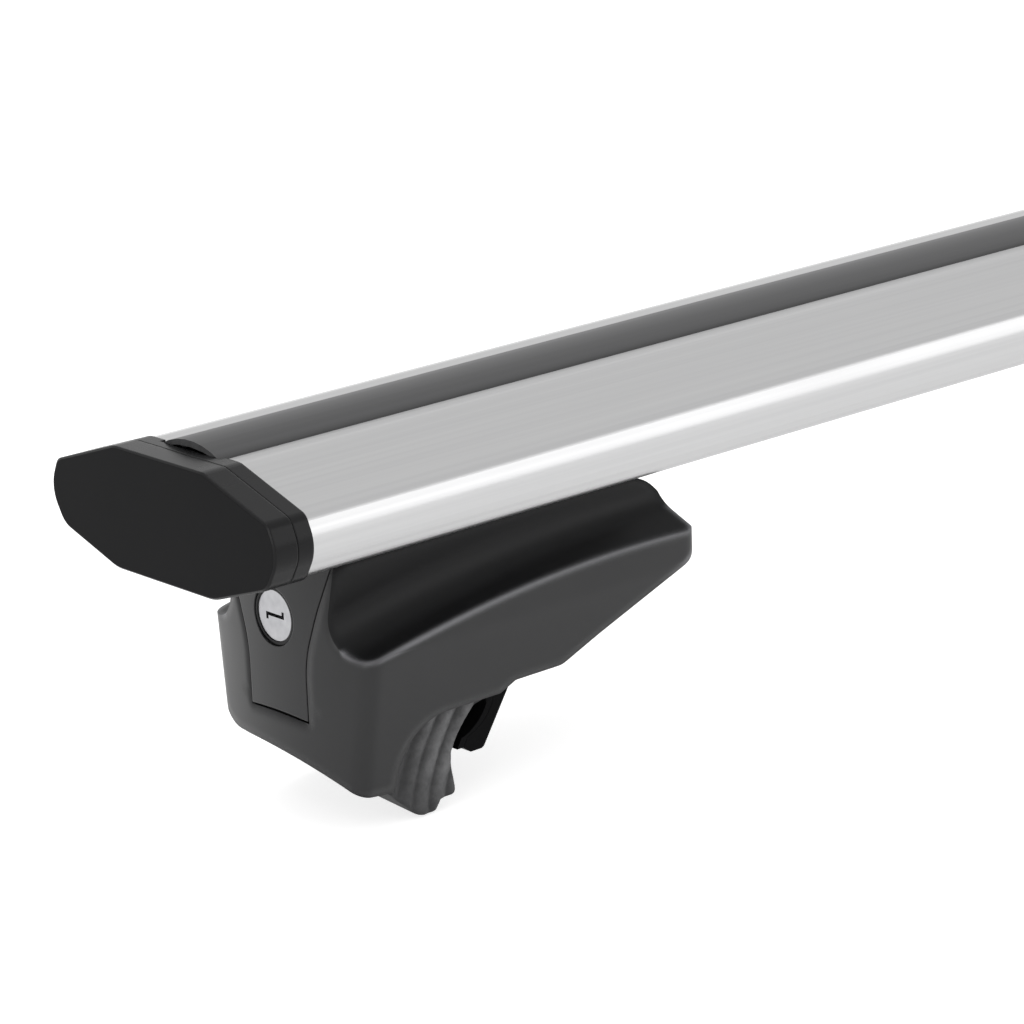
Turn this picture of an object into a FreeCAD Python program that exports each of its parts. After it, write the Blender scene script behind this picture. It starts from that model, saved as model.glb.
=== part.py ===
import FreeCAD, Part
import math
import os

import Sketcher
from FreeCAD import Placement, Rotation, Vector

# Roof rack crossbar: a wing-section bar on two lockable clamp feet for raised rails.
# X runs along the bar, Y across it and Z up. The origin is on the ground under the
# middle of the bar. Each foot is drawn in its own frame, with x = 0 at the middle of
# its outer face, x growing towards the middle of the bar, and z = 0 at the ground.

DRIVING_SIZES = {
    # bar
    "bar_length": 1200.0,
    "bar_width": 80.0,
    "bar_height": 28.4,
    "cap_proud": 0.5,
    "top_flat": 32.3,
    "bottom_flat": 35.0,
    "upper_crease_inset": 2.1,
    "upper_crease_drop": 7.2,
    "lower_crease_inset": 3.4,
    "lower_crease_rise": 6.3,
    "tip_over": 1.0,
    "top_corner_radius": 6.0,
    "upper_crease_radius": 3.0,
    "tip_radius": 8.5,
    "lower_crease_radius": 5.0,
    "bottom_corner_radius": 12.0,
    "bar_wall": 1.9,
    "slot_mouth": 11.0,
    "slot_room": 20.0,
    "top_slot_depth": 6.0,
    "bottom_slot_depth": 5.5,
    "slot_lip": 2.2,
    # rubber strip over the top slot
    "strip_width": 21.0,
    "strip_rise": 2.7,
    "strip_thick": 1.5,
    "strip_leg": 1.2,
    "strip_leg_gap": 7.2,
    "strip_leg_share": 0.9,
    "strip_barb": 1.3,
    "strip_over_cap": 1.4,
    # end caps
    "cap_cover_depth": 6.3,
    "cap_frame_depth": 4.1,
    "cap_joint": 0.2,
    "cap_edge": 0.4,
    "plug_depth": 14.0,
    "plug_wall": 1.8,
    "plug_gap": 0.15,
    # foot housing
    "foot_inset": 29.1,
    "foot_height": 63.5,
    "foot_gap": 0.2,
    "housing_length": 104.2,
    "housing_width": 57.0,
    "housing_foot_width": 47.4,
    "face_bow": 5.0,
    "cheek_bottom": 8.1,
    "chin_height": 17.5,
    "chin_low": 7.8,
    "chin_low_inner": 4.6,
    "chin_knee": 10.0,
    "chin_round": 10.0,
    "chin_ease": 0.15,
    "arch_start": 12.8,
    "arch_knee": 16.5,
    "arch_top": 24.9,
    "arch_radius": 14.0,
    "seat_start": 43.8,
    "seat_end": 62.5,
    "seat_ramp": 4.5,
    "seat_height": 27.0,
    "seat_radius": 6.0,
    "belly_x": 73.7,
    "belly_z": 31.9,
    "belly_radius": 10.0,
    "belly_wall": 0.9,
    "nose_back": 1.9,
    "nose_z": 43.4,
    "nose_radius": 8.0,
    "tip_z": 47.2,
    "end_round": 3.0,
    "neck_width": 33.4,
    "neck_flare": 4.0,
    "neck_draw": 1.0,
    "taper_top": 43.0,
    "shoulder_outer": 38.2,
    "shoulder_middle": 49.3,
    "shoulder_inner": 48.6,
    "scoop_radius_outer": 9.0,
    "scoop_radius_middle": 8.0,
    "scoop_radius_inner": 7.0,
    "scoop_fall_outer": 0.1,
    "scoop_fall_middle": 0.3,
    "scoop_fall_inner": 0.65,
    "crown_drop": 5.0,
    "crown_length": 13.0,
    "crown_back": 2.8,
    "crown_foot": 49.5,
    "corner_round": 4.0,
    "channel_width": 28.0,
    "opening_width": 24.0,
    "opening_step": 0.5,
    "channel_start": 6.5,
    "end_wall": 12.5,
    "channel_floor": 30.0,
    "jaw_slot_width": 22.8,
    "jaw_slot_start": 14.0,
    # door, hinge and lock
    "door_bottom": 26.4,
    "door_width": 20.0,
    "door_top_width": 37.6,
    "door_flare": 13.6,
    "door_flare_radius": 30.0,
    "door_bend_out": 0.45,
    "door_bend_up": 0.5,
    "door_bend_radius": 60.0,
    "door_gap": 0.35,
    "door_top_gap": 0.3,
    "door_thick": 2.8,
    "hinge_x": 2.7,
    "hinge_rise": 1.7,
    "knuckle_radius": 3.2,
    "knuckle_gap": 0.4,
    "pin_radius": 1.0,
    "pin_length": 25.0,
    "pin_clear": 0.08,
    "lock_drop": 14.9,
    "lock_radius": 5.9,
    "lock_recess": 0.7,
    "lock_end": 16.4,
    "lock_clear": 0.08,
    "sleeve_wall": 0.95,
    "sleeve_recess": 0.5,
    "sleeve_end": 16.0,
    "sleeve_fit": 0.05,
    "boss_wall": 1.7,
    "boss_end": 9.0,
    "boss_root": 0.5,
    "keyway_length": 6.4,
    "keyway_width": 0.8,
    "keyway_tick": 0.9,
    "keyway_depth": 6.0,
    "cam_thick": 2.0,
    "cam_reach": 11.6,
    "cam_width": 8.0,
    "cam_pass": 0.1,
    "cam_screw_radius": 1.25,
    "cam_screw_head": 2.7,
    "cam_screw_head_height": 1.8,
    "cam_screw_length": 6.0,
    "cam_hole_depth": 6.0,
    "cam_cross_arm": 1.7,
    "cam_cross_slot": 0.8,
    "cam_cross_depth": 1.0,
    # steel bracket
    "bracket_start": 20.8,
    "bracket_end_gap": 4.0,
    "bracket_gap": 0.5,
    "bracket_sheet": 2.5,
    "bracket_lift": 0.3,
    "tongue_width": 15.0,
    "tongue_start": 12.7,
    "fold_radius": 1.5,
    "catch_gap": 2.4,
    "tab_width": 18.0,
    "tab_low": 46.0,
    # outer jaw and its pad
    "jaw_wall_start": 28.5,
    "jaw_wall": 5.0,
    "jaw_wall_top": 45.0,
    "claw_width": 36.0,
    "claw_back": 20.7,
    "claw_back_top": 15.0,
    "claw_bottom": 3.6,
    "claw_round": 2.0,
    "claw_bevel": 2.0,
    "toe_round": 1.0,
    "claw_toe": 29.0,
    "claw_knee": 13.0,
    "claw_shoulder": 20.0,
    "claw_under_arch": 0.9,
    "pad_under_arch": 0.3,
    "pad_width": 44.6,
    "pad_sole_start": 21.5,
    "pad_sole_end": 26.2,
    "pad_heel_round": 6.0,
    "pad_step_x": 27.7,
    "pad_step_z": 2.4,
    "pad_toe_x": 32.4,
    "pad_toe_z": 2.7,
    "pad_knee_x": 31.7,
    "pad_knee_z": 12.6,
    "pad_hollow_radius": 18.0,
    "pad_end": 43.2,
    "pad_end_drop": 0.5,
    "pad_round": 12.0,
    "rib_depth": 0.5,
    "rib_width": 2.6,
    "rib_radius": 26.0,
    "rib_top_start": 24.0,
    "rib_top_pitch": 4.7,
    "rib_top_drop": 2.5,
    "rib_foot_start": 16.0,
    "rib_foot_pitch": 4.1,
    "rib_foot_height": 6.4,
    "rib_foot_step": 1.1,
    # seat pads
    "seat_pad_thick": 1.6,
    "seat_pad_width": 12.0,
    "seat_pad_inset": 0.8,
    "seat_pad_sink": 1.0,
    "seat_pad_round": 1.5,
    # inner jaw
    "neck_start": 47.2,
    "neck_thick": 6.0,
    "inner_neck_width": 20.0,
    "inner_neck_top": 41.5,
    "hook_width": 38.0,
    "hook_top": 24.2,
    "hook_elbow": 20.5,
    "hook_tip_x": 39.3,
    "hook_tip_z": 14.0,
    "hook_toe_x": 37.9,
    "hook_toe_z": 11.6,
    "hook_bottom": 10.0,
    "hook_toe_thick": 2.2,
    "hook_back": 3.8,
    "hook_radius": 12.0,
    "inner_pad_thick": 1.8,
    # clamp screw M8
    "screw_height": 35.5,
    "screw_radius": 4.0,
    "screw_head_radius": 6.5,
    "screw_head_height": 8.0,
    "screw_tip_gap": 1.8,
    "screw_socket": 6.0,
    "screw_socket_depth": 4.5,
    "screw_clear": 0.08,
    "screw_pass": 0.5,
    "washer_radius": 8.0,
    "washer_thick": 1.6,
    "nut_across": 13.0,
    "nut_thick": 6.5,
    # slot bolts M6
    "bolt_first": 38.0,
    "bolt_from_end": 15.7,
    "bolt_radius": 3.0,
    "bolt_low": 50.0,
    "bolt_head_width": 17.5,
    "bolt_head_length": 9.6,
    "bolt_head_thick": 3.6,
    "bolt_pass": 0.3,
    "slot_washer_radius": 6.0,
    "slot_washer_thick": 1.2,
    "slot_nut_across": 10.0,
    "slot_nut_thick": 5.0,
    # housing screw
    "cover_screw_height": 51.2,
    "cover_screw_radius": 1.9,
    "cover_screw_head": 3.0,
    "cover_screw_head_height": 2.2,
    "cover_screw_sink": 4.6,
    "cover_screw_length": 15.5,
    "cover_cross_arm": 1.8,
    "cover_cross_slot": 1.0,
    "cover_cross_depth": 1.4,
    "screw_edge": 0.8,
}

doc = FreeCAD.newDocument("Crossbar")
sheet = doc.addObject("Spreadsheet::Sheet", "Sizes")


class Size:
    """A number together with the spreadsheet formula that gives it."""

    def __init__(self, value, formula=None):
        self.value = float(value)
        self.formula = formula or repr(float(value))

    def _mix(self, other, sign, value):
        other = as_size(other)
        return Size(value(self.value, other.value), f"({self.formula} {sign} {other.formula})")

    def __add__(self, other):
        return self._mix(other, "+", lambda a, b: a + b)

    def __radd__(self, other):
        return as_size(other) + self

    def __sub__(self, other):
        return self._mix(other, "-", lambda a, b: a - b)

    def __rsub__(self, other):
        return as_size(other) - self

    def __mul__(self, other):
        return self._mix(other, "*", lambda a, b: a * b)

    def __rmul__(self, other):
        return as_size(other) * self

    def __truediv__(self, other):
        return self._mix(other, "/", lambda a, b: a / b)

    def __neg__(self):
        return Size(0) - self

    def root(self):
        return Size(math.sqrt(self.value), f"sqrt({self.formula})")


def as_size(number):
    return number if isinstance(number, Size) else Size(number)


class Sheet:
    """The driving sizes by name."""

    def __init__(self, sizes):
        for row, (name, value) in enumerate(sizes.items(), start=1):
            sheet.set(f"A{row}", name)
            sheet.set(f"B{row}", repr(value))
            sheet.setAlias(f"B{row}", name)
            setattr(self, name, Size(value, f"Sizes.{name}"))


S = Sheet(DRIVING_SIZES)
doc.recompute()


def bind(thing, path, size):
    thing.setExpression(path, as_size(size).formula)


def new_body(name):
    body = doc.addObject("PartDesign::Body", name)
    body.Label = name
    body.AllowCompound = True
    return body


def new_sketch(body, plane, lift=0, shift=(0, 0)):
    """An empty sketch on one of the body's planes, lifted off it and shifted in it."""
    sketch = body.newObject("Sketcher::SketchObject", "Sketch")
    support = [f for f in body.Origin.OriginFeatures if f.Role == f"{plane}_Plane"][0]
    sketch.AttachmentSupport = (support, [""])
    sketch.MapMode = "FlatFace"
    for axis, size in zip("xyz", (*shift, lift)):
        bind(sketch, f"AttachmentOffset.Base.{axis}", size)
    return sketch


def pin_point(sketch, geometry, position, x, y):
    """Hold one point of the sketch at (x, y), measured from the sketch's origin."""
    for kind, axis, size in (("DistanceX", -2, x), ("DistanceY", -1, y)):
        size = as_size(size)
        if size.formula == "0.0":
            sketch.addConstraint(Sketcher.Constraint("PointOnObject", geometry, position, axis))
            continue
        index = sketch.addConstraint(
            Sketcher.Constraint(kind, -1, 1, geometry, position, size.value)
        )
        bind(sketch, f"Constraints[{index}]", size)


def hold_radius(sketch, geometry, radius):
    index = sketch.addConstraint(Sketcher.Constraint("Radius", geometry, abs(radius.value)))
    bind(sketch, f"Constraints[{index}]", radius)


def arc_between(start, end, radius, bulge_right):
    """The shorter arc from start to end that bulges to the right or left of the way."""
    chord = end - start
    side = Vector(chord.y, -chord.x, 0).normalize()
    height = math.sqrt(radius**2 - (chord.Length / 2) ** 2)
    centre = start + chord / 2 - side * height * (1 if bulge_right else -1)
    angles = [math.atan2(p.y - centre.y, p.x - centre.x) for p in (start, end)]
    if not bulge_right:
        angles.reverse()
    circle = Part.Circle(centre, Vector(0, 0, 1), radius)
    return Part.ArcOfCircle(circle, angles[0], angles[1])


def outline(body, plane, corners, arcs=None, lift=0, shift=(0, 0), sketch=None):
    """A closed outline. A corner is (x, y), or (x, y, radius) where it is rounded.

    arcs gives, for some corners by number, the radius of the arc that leaves that corner,
    positive where it bulges to the right of the way and negative where it bulges left.
    """
    sketch = sketch or new_sketch(body, plane, lift, shift)
    arcs = arcs or {}
    count = len(corners)
    points = [Vector(as_size(c[0]).value, as_size(c[1]).value, 0) for c in corners]
    arrive, leave = [], []
    for i, corner in enumerate(corners):
        if len(corner) == 2:
            arrive.append(points[i])
            leave.append(points[i])
            continue
        back = (points[i - 1] - points[i]).normalize()
        ahead = (points[(i + 1) % count] - points[i]).normalize()
        setback = as_size(corner[2]).value / math.tan(back.getAngle(ahead) / 2)
        arrive.append(points[i] + back * setback)
        leave.append(points[i] + ahead * setback)
    edges = []
    for i in range(count):
        start, end = leave[i], arrive[(i + 1) % count]
        if i in arcs:
            radius = as_size(arcs[i])
            right = radius.value > 0
            arc = arc_between(start, end, abs(radius.value), right)
            number = sketch.addGeometry(arc)
            hold_radius(sketch, number, radius if right else -radius)
            edges.append((number, 1 if right else 2, 2 if right else 1))
        else:
            edges.append((sketch.addGeometry(Part.LineSegment(start, end)), 1, 2))
    for i, corner in enumerate(corners):
        before, after = edges[i - 1], edges[i]
        if len(corner) == 2:
            sketch.addConstraint(
                Sketcher.Constraint("Coincident", before[0], before[2], after[0], after[1])
            )
            pin_point(sketch, after[0], after[1], corner[0], corner[1])
            continue
        way_in, way_out = points[i] - arrive[i], leave[i] - points[i]
        right = way_in.cross(way_out).z > 0
        radius = as_size(corner[2])
        number = sketch.addGeometry(arc_between(arrive[i], leave[i], radius.value, right))
        first, last = (1, 2) if right else (2, 1)
        sketch.addConstraint(
            Sketcher.Constraint("Tangent", before[0], before[2], number, first)
        )
        sketch.addConstraint(Sketcher.Constraint("Tangent", after[0], after[1], number, last))
        hold_radius(sketch, number, radius)
        point = sketch.addGeometry(Part.Point(points[i]), True)
        pin_point(sketch, point, 1, corner[0], corner[1])
        for edge in (before, after):
            sketch.addConstraint(Sketcher.Constraint("PointOnObject", point, 1, edge[0]))
    if sketch.solve() != 0:
        raise RuntimeError(f"the sketch of {body.Label} can't be solved")
    return sketch


def rounds(body, plane, circles, lift=0, shift=(0, 0), sketch=None):
    """Circles, each (x, y, radius)."""
    sketch = sketch or new_sketch(body, plane, lift, shift)
    for x, y, radius in circles:
        centre = Vector(as_size(x).value, as_size(y).value, 0)
        circle = Part.Circle(centre, Vector(0, 0, 1), as_size(radius).value)
        number = sketch.addGeometry(circle)
        hold_radius(sketch, number, as_size(radius))
        pin_point(sketch, number, 3, x, y)
    return sketch


def hexagon(body, plane, across, x, y, sketch):
    """A hexagon round (x, y) with flats facing along the sketch's x axis."""
    half = across / 2
    reach = across / math.sqrt(3)
    corners = [
        (x + half, y + reach / 2),
        (x, y + reach),
        (x - half, y + reach / 2),
        (x - half, y - reach / 2),
        (x, y - reach),
        (x + half, y - reach / 2),
    ]
    return outline(body, plane, corners, sketch=sketch)


def add(body, sketch, length, middle=False, back=False):
    """Raise the sketch along the plane's normal, or both ways from the middle."""
    pad = body.newObject("PartDesign::Pad", "Pad")
    pad.Profile = sketch
    bind(pad, "Length", length)
    pad.SideType = "Symmetric" if middle else "One side"
    pad.Reversed = back
    doc.recompute()
    return pad


def cut(body, sketch, length=None, middle=False, back=False):
    """Sink the sketch by length, or right through the body."""
    before = body.Shape.Volume
    pocket = body.newObject("PartDesign::Pocket", "Pocket")
    pocket.Profile = sketch
    if length is None:
        pocket.Type = "ThroughAll"
    else:
        bind(pocket, "Length", length)
    pocket.SideType = "Symmetric" if middle else "One side"
    pocket.Reversed = back
    doc.recompute()
    if not body.Shape.Volume < before:
        raise RuntimeError(f"a pocket of {body.Label} cuts nothing")
    return pocket


def turn(body, sketch, groove=False):
    """Turn the sketch round its own horizontal axis, to add or to cut."""
    before = body.Shape.Volume if groove else 0
    kind = "PartDesign::Groove" if groove else "PartDesign::Revolution"
    feature = body.newObject(kind, "Turned")
    feature.Profile = sketch
    feature.ReferenceAxis = (sketch, ["H_Axis"])
    feature.Angle = 360
    doc.recompute()
    if groove and not body.Shape.Volume < before:
        raise RuntimeError(f"a groove of {body.Label} cuts nothing")
    return feature


def loft(body, sketches, subtract=False, ruled=False):
    """Join outlines with the same number of corners into one shape, to add or to cut."""
    kind = "PartDesign::SubtractiveLoft" if subtract else "PartDesign::AdditiveLoft"
    feature = body.newObject(kind, "Loft")
    feature.Profile = sketches[0]
    feature.Sections = sketches[1:]
    feature.Ruled = ruled
    doc.recompute()
    return feature


def mirrored(body, feature, plane):
    """Repeat a feature on the other side of one of the body's planes."""
    copy = body.newObject("PartDesign::Mirrored", "Mirrored")
    copy.Originals = [feature]
    support = [f for f in body.Origin.OriginFeatures if f.Role == f"{plane}_Plane"][0]
    copy.MirrorPlane = (support, [""])
    body.Tip = copy
    doc.recompute()
    return copy


def place(bodies, side, shift):
    """Put pieces drawn for the left end at their end, turned half round for the right."""
    for body in bodies:
        turned = 180 if side == "right" else 0
        body.Placement = Placement(Vector(), Rotation(Vector(0, 0, 1), turned))
        bind(body, "Placement.Base.x", -shift if side == "right" else shift)
    return bodies


def ease_edges(body, radius, wanted, chamfer=False):
    """Round or chamfer the edges of the body that wanted(edge) picks."""
    shape = body.Shape
    names = [f"Edge{i}" for i, edge in enumerate(shape.Edges, start=1) if wanted(edge)]
    base = body.Tip
    feature = body.newObject("PartDesign::Chamfer" if chamfer else "PartDesign::Fillet", "Eased")
    feature.Base = (base, names)
    bind(feature, "Size" if chamfer else "Radius", radius)
    doc.recompute()
    return feature


# Bar

half_bar = S.bar_width / 2
bar_base = S.foot_height
cap_depth = S.cap_cover_depth + S.cap_joint + S.cap_frame_depth
bar_end = S.bar_length / 2 - cap_depth
bar_top = bar_base + S.bar_height - 2 * S.cap_proud


def side_profile(inset, low, high):
    """The +Y half of the wing section from its underside to its top, inset all round."""
    return [
        (S.bottom_flat / 2 - inset, low, S.bottom_corner_radius),
        (half_bar - S.lower_crease_inset - inset, low + S.lower_crease_rise, S.lower_crease_radius),
        (half_bar + S.tip_over - inset, (low + high) / 2, S.tip_radius),
        (half_bar - S.upper_crease_inset - inset, high - S.upper_crease_drop, S.upper_crease_radius),
        (S.top_flat / 2 - inset, high, S.top_corner_radius),
    ]


def other_side(corners):
    """The same outline on the -Y side."""
    return [(-corner[0], *corner[1:]) for corner in corners]


def wing(inset, low, high):
    """The whole wing section."""
    half = side_profile(inset, low, high)
    return half + other_side(half)[::-1]


def slot(mouth_z, lip_end, room_end):
    """A T-slot: its mouth, then its wider room behind the lips."""
    mouth = S.slot_mouth / 2
    room = S.slot_room / 2
    return [
        (-mouth, mouth_z),
        (-mouth, lip_end),
        (-room, lip_end),
        (-room, room_end),
        (room, room_end),
        (room, lip_end),
        (mouth, lip_end),
        (mouth, mouth_z),
    ]


top_lip = bar_top - S.slot_lip
top_floor = top_lip - S.top_slot_depth
bottom_lip = bar_base + S.slot_lip
bottom_roof = bottom_lip + S.bottom_slot_depth
chamber_side = S.slot_room / 2 + S.bar_wall


def side_chamber(inset):
    """The hollow beside the slots on the +Y side, inset from the aluminium."""
    gap = S.bar_wall + inset
    low = bar_base + gap
    high = bar_top - gap
    inner = chamber_side + inset
    lower, tip, upper = side_profile(S.cap_proud, bar_base, bar_top)[1:4]
    return [
        (inner, low),
        (S.bottom_flat / 2 - inset, low),
        (lower[0] - gap, lower[1] + gap),
        (tip[0] - gap - S.tip_over, tip[1]),
        (upper[0] - gap, upper[1] - gap),
        (S.top_flat / 2 - inset, high),
        (inner, high),
    ]


def crossbar_extrusion():
    body = new_body("crossbar_extrusion")
    section = outline(body, "YZ", wing(S.cap_proud, bar_base, bar_top))
    add(body, section, 2 * bar_end, middle=True)
    cut(body, outline(body, "YZ", slot(bar_top + 1, top_lip, top_floor)), middle=True)
    cut(body, outline(body, "YZ", slot(bar_base - 1, bottom_lip, bottom_roof)), middle=True)
    core = S.slot_room / 2
    middle = [
        (-core, bottom_roof + S.bar_wall),
        (core, bottom_roof + S.bar_wall),
        (core, top_floor - S.bar_wall),
        (-core, top_floor - S.bar_wall),
    ]
    chambers = outline(body, "YZ", middle)
    outline(body, "YZ", side_chamber(0), sketch=chambers)
    outline(body, "YZ", other_side(side_chamber(0)), sketch=chambers)
    cut(body, chambers, middle=True)
    return body


def arc_radius(span, rise):
    """Radius of the arc over a span with a given rise."""
    return (span * span / 4 + rise * rise) / (2 * rise)


def slot_strip():
    """An arched rubber strip, with two barbed legs that grip the lips of the slot."""
    body = new_body("slot_strip")
    half = S.strip_width / 2
    inner = half - S.strip_thick
    leg_out = S.strip_leg_gap / 2 + S.strip_leg
    leg_in = S.strip_leg_gap / 2
    barb = leg_out + S.strip_barb
    rise_in = S.strip_rise - S.strip_thick
    foot = top_lip - S.strip_barb
    length = 2 * (bar_end + S.strip_over_cap)
    arch = outline(
        body,
        "YZ",
        [(half, bar_top), (-half, bar_top), (-inner, bar_top), (inner, bar_top)],
        {0: arc_radius(S.strip_width, S.strip_rise), 2: -arc_radius(2 * inner, rise_in)},
    )
    add(body, arch, length, middle=True)
    root = bar_top + rise_in * S.strip_leg_share
    leg = [
        (leg_in, root),
        (leg_in, foot),
        (leg_out, foot),
        (barb, top_lip),
        (leg_out, top_lip),
        (leg_out, root),
    ]
    legs = outline(body, "YZ", leg)
    outline(body, "YZ", other_side(leg), sketch=legs)
    add(body, legs, 2 * bar_end, middle=True)
    return body


def end_cap(side):
    """The two moulded pieces of an end cap, drawn for the end at -X."""
    end = -S.bar_length / 2
    cap_low = bar_base - S.cap_proud
    cap_high = bar_top + S.cap_proud
    section = wing(Size(0), cap_low, cap_high)

    cover = new_body(f"{side}_cap_cover")
    small = wing(S.cap_edge, cap_low + S.cap_edge, cap_high - S.cap_edge)
    face = outline(cover, "YZ", small, lift=end)
    rim = outline(cover, "YZ", section, lift=end + S.cap_edge)
    loft(cover, [face, rim], ruled=True)
    back = outline(cover, "YZ", section, lift=end + S.cap_edge)
    add(cover, back, S.cap_cover_depth - S.cap_edge)

    frame = new_body(f"{side}_cap_frame")
    ring_start = end + S.cap_cover_depth + S.cap_joint
    add(frame, outline(frame, "YZ", section, lift=ring_start), S.cap_frame_depth)
    rebate = S.strip_width / 2 + S.plug_gap
    trough = [
        (-rebate, bar_top),
        (rebate, bar_top),
        (rebate, cap_high + 1),
        (-rebate, cap_high + 1),
    ]
    over = -bar_end - S.strip_over_cap - S.plug_gap
    cut(frame, outline(frame, "YZ", trough, lift=over), S.cap_frame_depth, back=True)
    plugs = outline(frame, "YZ", side_chamber(S.plug_gap), lift=-bar_end)
    outline(frame, "YZ", other_side(side_chamber(S.plug_gap)), sketch=plugs)
    add(frame, plugs, S.plug_depth)
    hollow_inset = S.plug_gap + S.plug_wall
    hollows = outline(frame, "YZ", side_chamber(hollow_inset), lift=-bar_end)
    outline(frame, "YZ", other_side(side_chamber(hollow_inset)), sketch=hollows)
    cut(frame, hollows, S.plug_depth, back=True)
    return place([cover, frame], side, Size(0))


# Foot: the moulded housing

neck_top = S.foot_height - S.foot_gap
half_housing = S.housing_width / 2
half_sole = S.housing_foot_width / 2
face_radius = (half_housing * half_housing + S.face_bow * S.face_bow) / (2 * S.face_bow)
channel_half = S.channel_width / 2
passage_half = S.jaw_slot_width / 2
hinge_z = S.door_bottom + S.hinge_rise
door_top = neck_top - S.door_top_gap
lock_height = neck_top - S.lock_drop
channel_end = S.housing_length - S.end_wall
MARGIN = 12


def face_plan(start, end):
    """Plan outline of a piece between the bowed outer face and a straight inner end."""
    corners = [
        (S.face_bow + start, half_housing),
        (S.face_bow + start, -half_housing),
        (end, -half_housing, S.end_round),
        (end, half_housing, S.end_round),
    ]
    return corners, {0: face_radius}


def belly_line(start, end, lift):
    """The rise of the housing above the belly up to an end, lifted off the belly."""
    slope = (S.nose_z - S.belly_z) / (S.housing_length - S.nose_back - S.belly_x)
    return [
        (S.belly_x, S.belly_z + lift),
        (end, S.belly_z + lift + slope * (end - S.belly_x)),
    ]


def arch_line():
    """What is cut below the housing: arch over the outer jaw, seat and belly."""
    end = S.housing_length + MARGIN
    return [
        (S.arch_start, -MARGIN),
        (S.arch_start, S.cheek_bottom),
        (S.arch_knee, S.arch_top, S.arch_radius),
        (S.seat_start, S.arch_top),
        (S.seat_start + S.seat_ramp, S.seat_height),
        (S.seat_end, S.seat_height, S.seat_radius),
        (S.belly_x, S.belly_z, S.belly_radius),
        (S.housing_length - S.nose_back, S.nose_z, S.nose_radius),
        (S.housing_length, S.tip_z),
        (end, S.tip_z),
        (end, -MARGIN),
    ]


def tangent_radius(span, rise):
    """Radius of the arc that leaves a line at a tangent and drops by rise over a span."""
    return (span * span + rise * rise) / (2 * rise)


def side_half(z):
    """Half width of the tapered sides at a height."""
    slope = (half_housing - half_sole) / (S.taper_top - S.cheek_bottom)
    return half_sole + slope * (z - S.cheek_bottom)


def cut_chin(body):
    """Cut the oblique lower edge of the outer face, low at -Y and rounded into the +Y side."""
    half = half_housing + 1
    level = S.chin_height
    above = level + 2 * S.chin_round
    sections = []
    for x, low in ((Size(-1), S.chin_low), (S.arch_knee, S.chin_low_inner)):
        corners = [
            (-half, -MARGIN),
            (-half, low),
            (S.chin_knee, level),
            (side_half(level) + S.chin_ease, level, S.chin_round),
            (side_half(above) + S.chin_ease, above),
            (half, above),
            (half, -MARGIN),
        ]
        arch = {1: -tangent_radius(half + S.chin_knee, level - low)}
        sections.append(outline(body, "YZ", corners, arch, lift=x))
    loft(body, sections, subtract=True)


def side_taper(top_half, low_half, top_z, low_z):
    """What is cut from the +Y side of a piece that narrows downwards."""
    out = top_half + MARGIN
    return [
        (top_half, top_z),
        (low_half, low_z),
        (low_half, -MARGIN),
        (out, -MARGIN),
        (out, top_z),
    ]


def scoop_section(top_half, root_half, root_z, radius, fall):
    """Section of a shoulder scoop: down the neck, round a hollow and out over the side."""
    out = half_housing + MARGIN
    return [
        (top_half, neck_top + 2),
        (root_half, root_z, radius),
        (out, root_z - fall * (out - root_half)),
        (out, neck_top + 2),
    ]


def cut_scoops(body):
    """Sink the concave shoulders, deep at the outer face and shallow at the inner end."""
    neck = S.neck_width / 2
    reach = half_housing - neck
    stations = (
        (
            Size(-MARGIN),
            neck + S.neck_flare,
            neck - S.neck_draw,
            S.shoulder_outer + S.scoop_fall_outer * reach,
            S.scoop_radius_outer,
            S.scoop_fall_outer,
        ),
        (
            S.housing_length * 0.5,
            neck + S.neck_flare / 2,
            neck,
            S.shoulder_middle + S.scoop_fall_middle * reach,
            S.scoop_radius_middle,
            S.scoop_fall_middle,
        ),
        (
            S.housing_length + MARGIN,
            neck + S.neck_flare / 2,
            neck + S.neck_draw,
            S.shoulder_inner + S.scoop_fall_inner * reach,
            S.scoop_radius_inner,
            S.scoop_fall_inner,
        ),
    )
    sketches = [outline(body, "YZ", scoop_section(*size), lift=x) for x, *size in stations]
    return mirrored(body, loft(body, sketches, subtract=True), "XZ")


def door_outline(gap, top):
    """Outline of the lock door in front view, grown by a gap and carried on to a top."""
    half = S.door_width / 2 + gap
    top_half = S.door_top_width / 2 + gap
    straight = S.door_bottom + S.door_flare
    bend_half = half + (top_half - half) * S.door_bend_out
    bend_z = straight + (door_top - straight) * S.door_bend_up
    slope = (top_half - bend_half) / (door_top - bend_z)
    flare = [
        (half, S.door_bottom - gap),
        (half, straight, S.door_flare_radius),
        (bend_half, bend_z, S.door_bend_radius),
        (top_half + slope * (top - door_top), top),
    ]
    return flare + other_side(flare)[::-1]


def door_slab(body, gap, top):
    """A bowed slab with the outline of the door, grown by a gap at its edges and back."""
    back = S.face_bow + S.door_thick + gap
    plan = [
        (S.face_bow - gap, half_housing),
        (S.face_bow - gap, -half_housing),
        (back, -half_housing),
        (back, half_housing),
    ]
    arcs = {0: face_radius, 2: -face_radius}
    add(body, outline(body, "XY", plan, arcs, lift=hinge_z), top - hinge_z)
    out = half_housing + 1
    beside = door_outline(gap, top)[:4] + [(out, top), (out, S.door_bottom - gap)]
    sides = outline(body, "YZ", beside, lift=-1)
    outline(body, "YZ", other_side(beside), sketch=sides)
    cut(body, sides, 2 * back, back=True)


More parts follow.
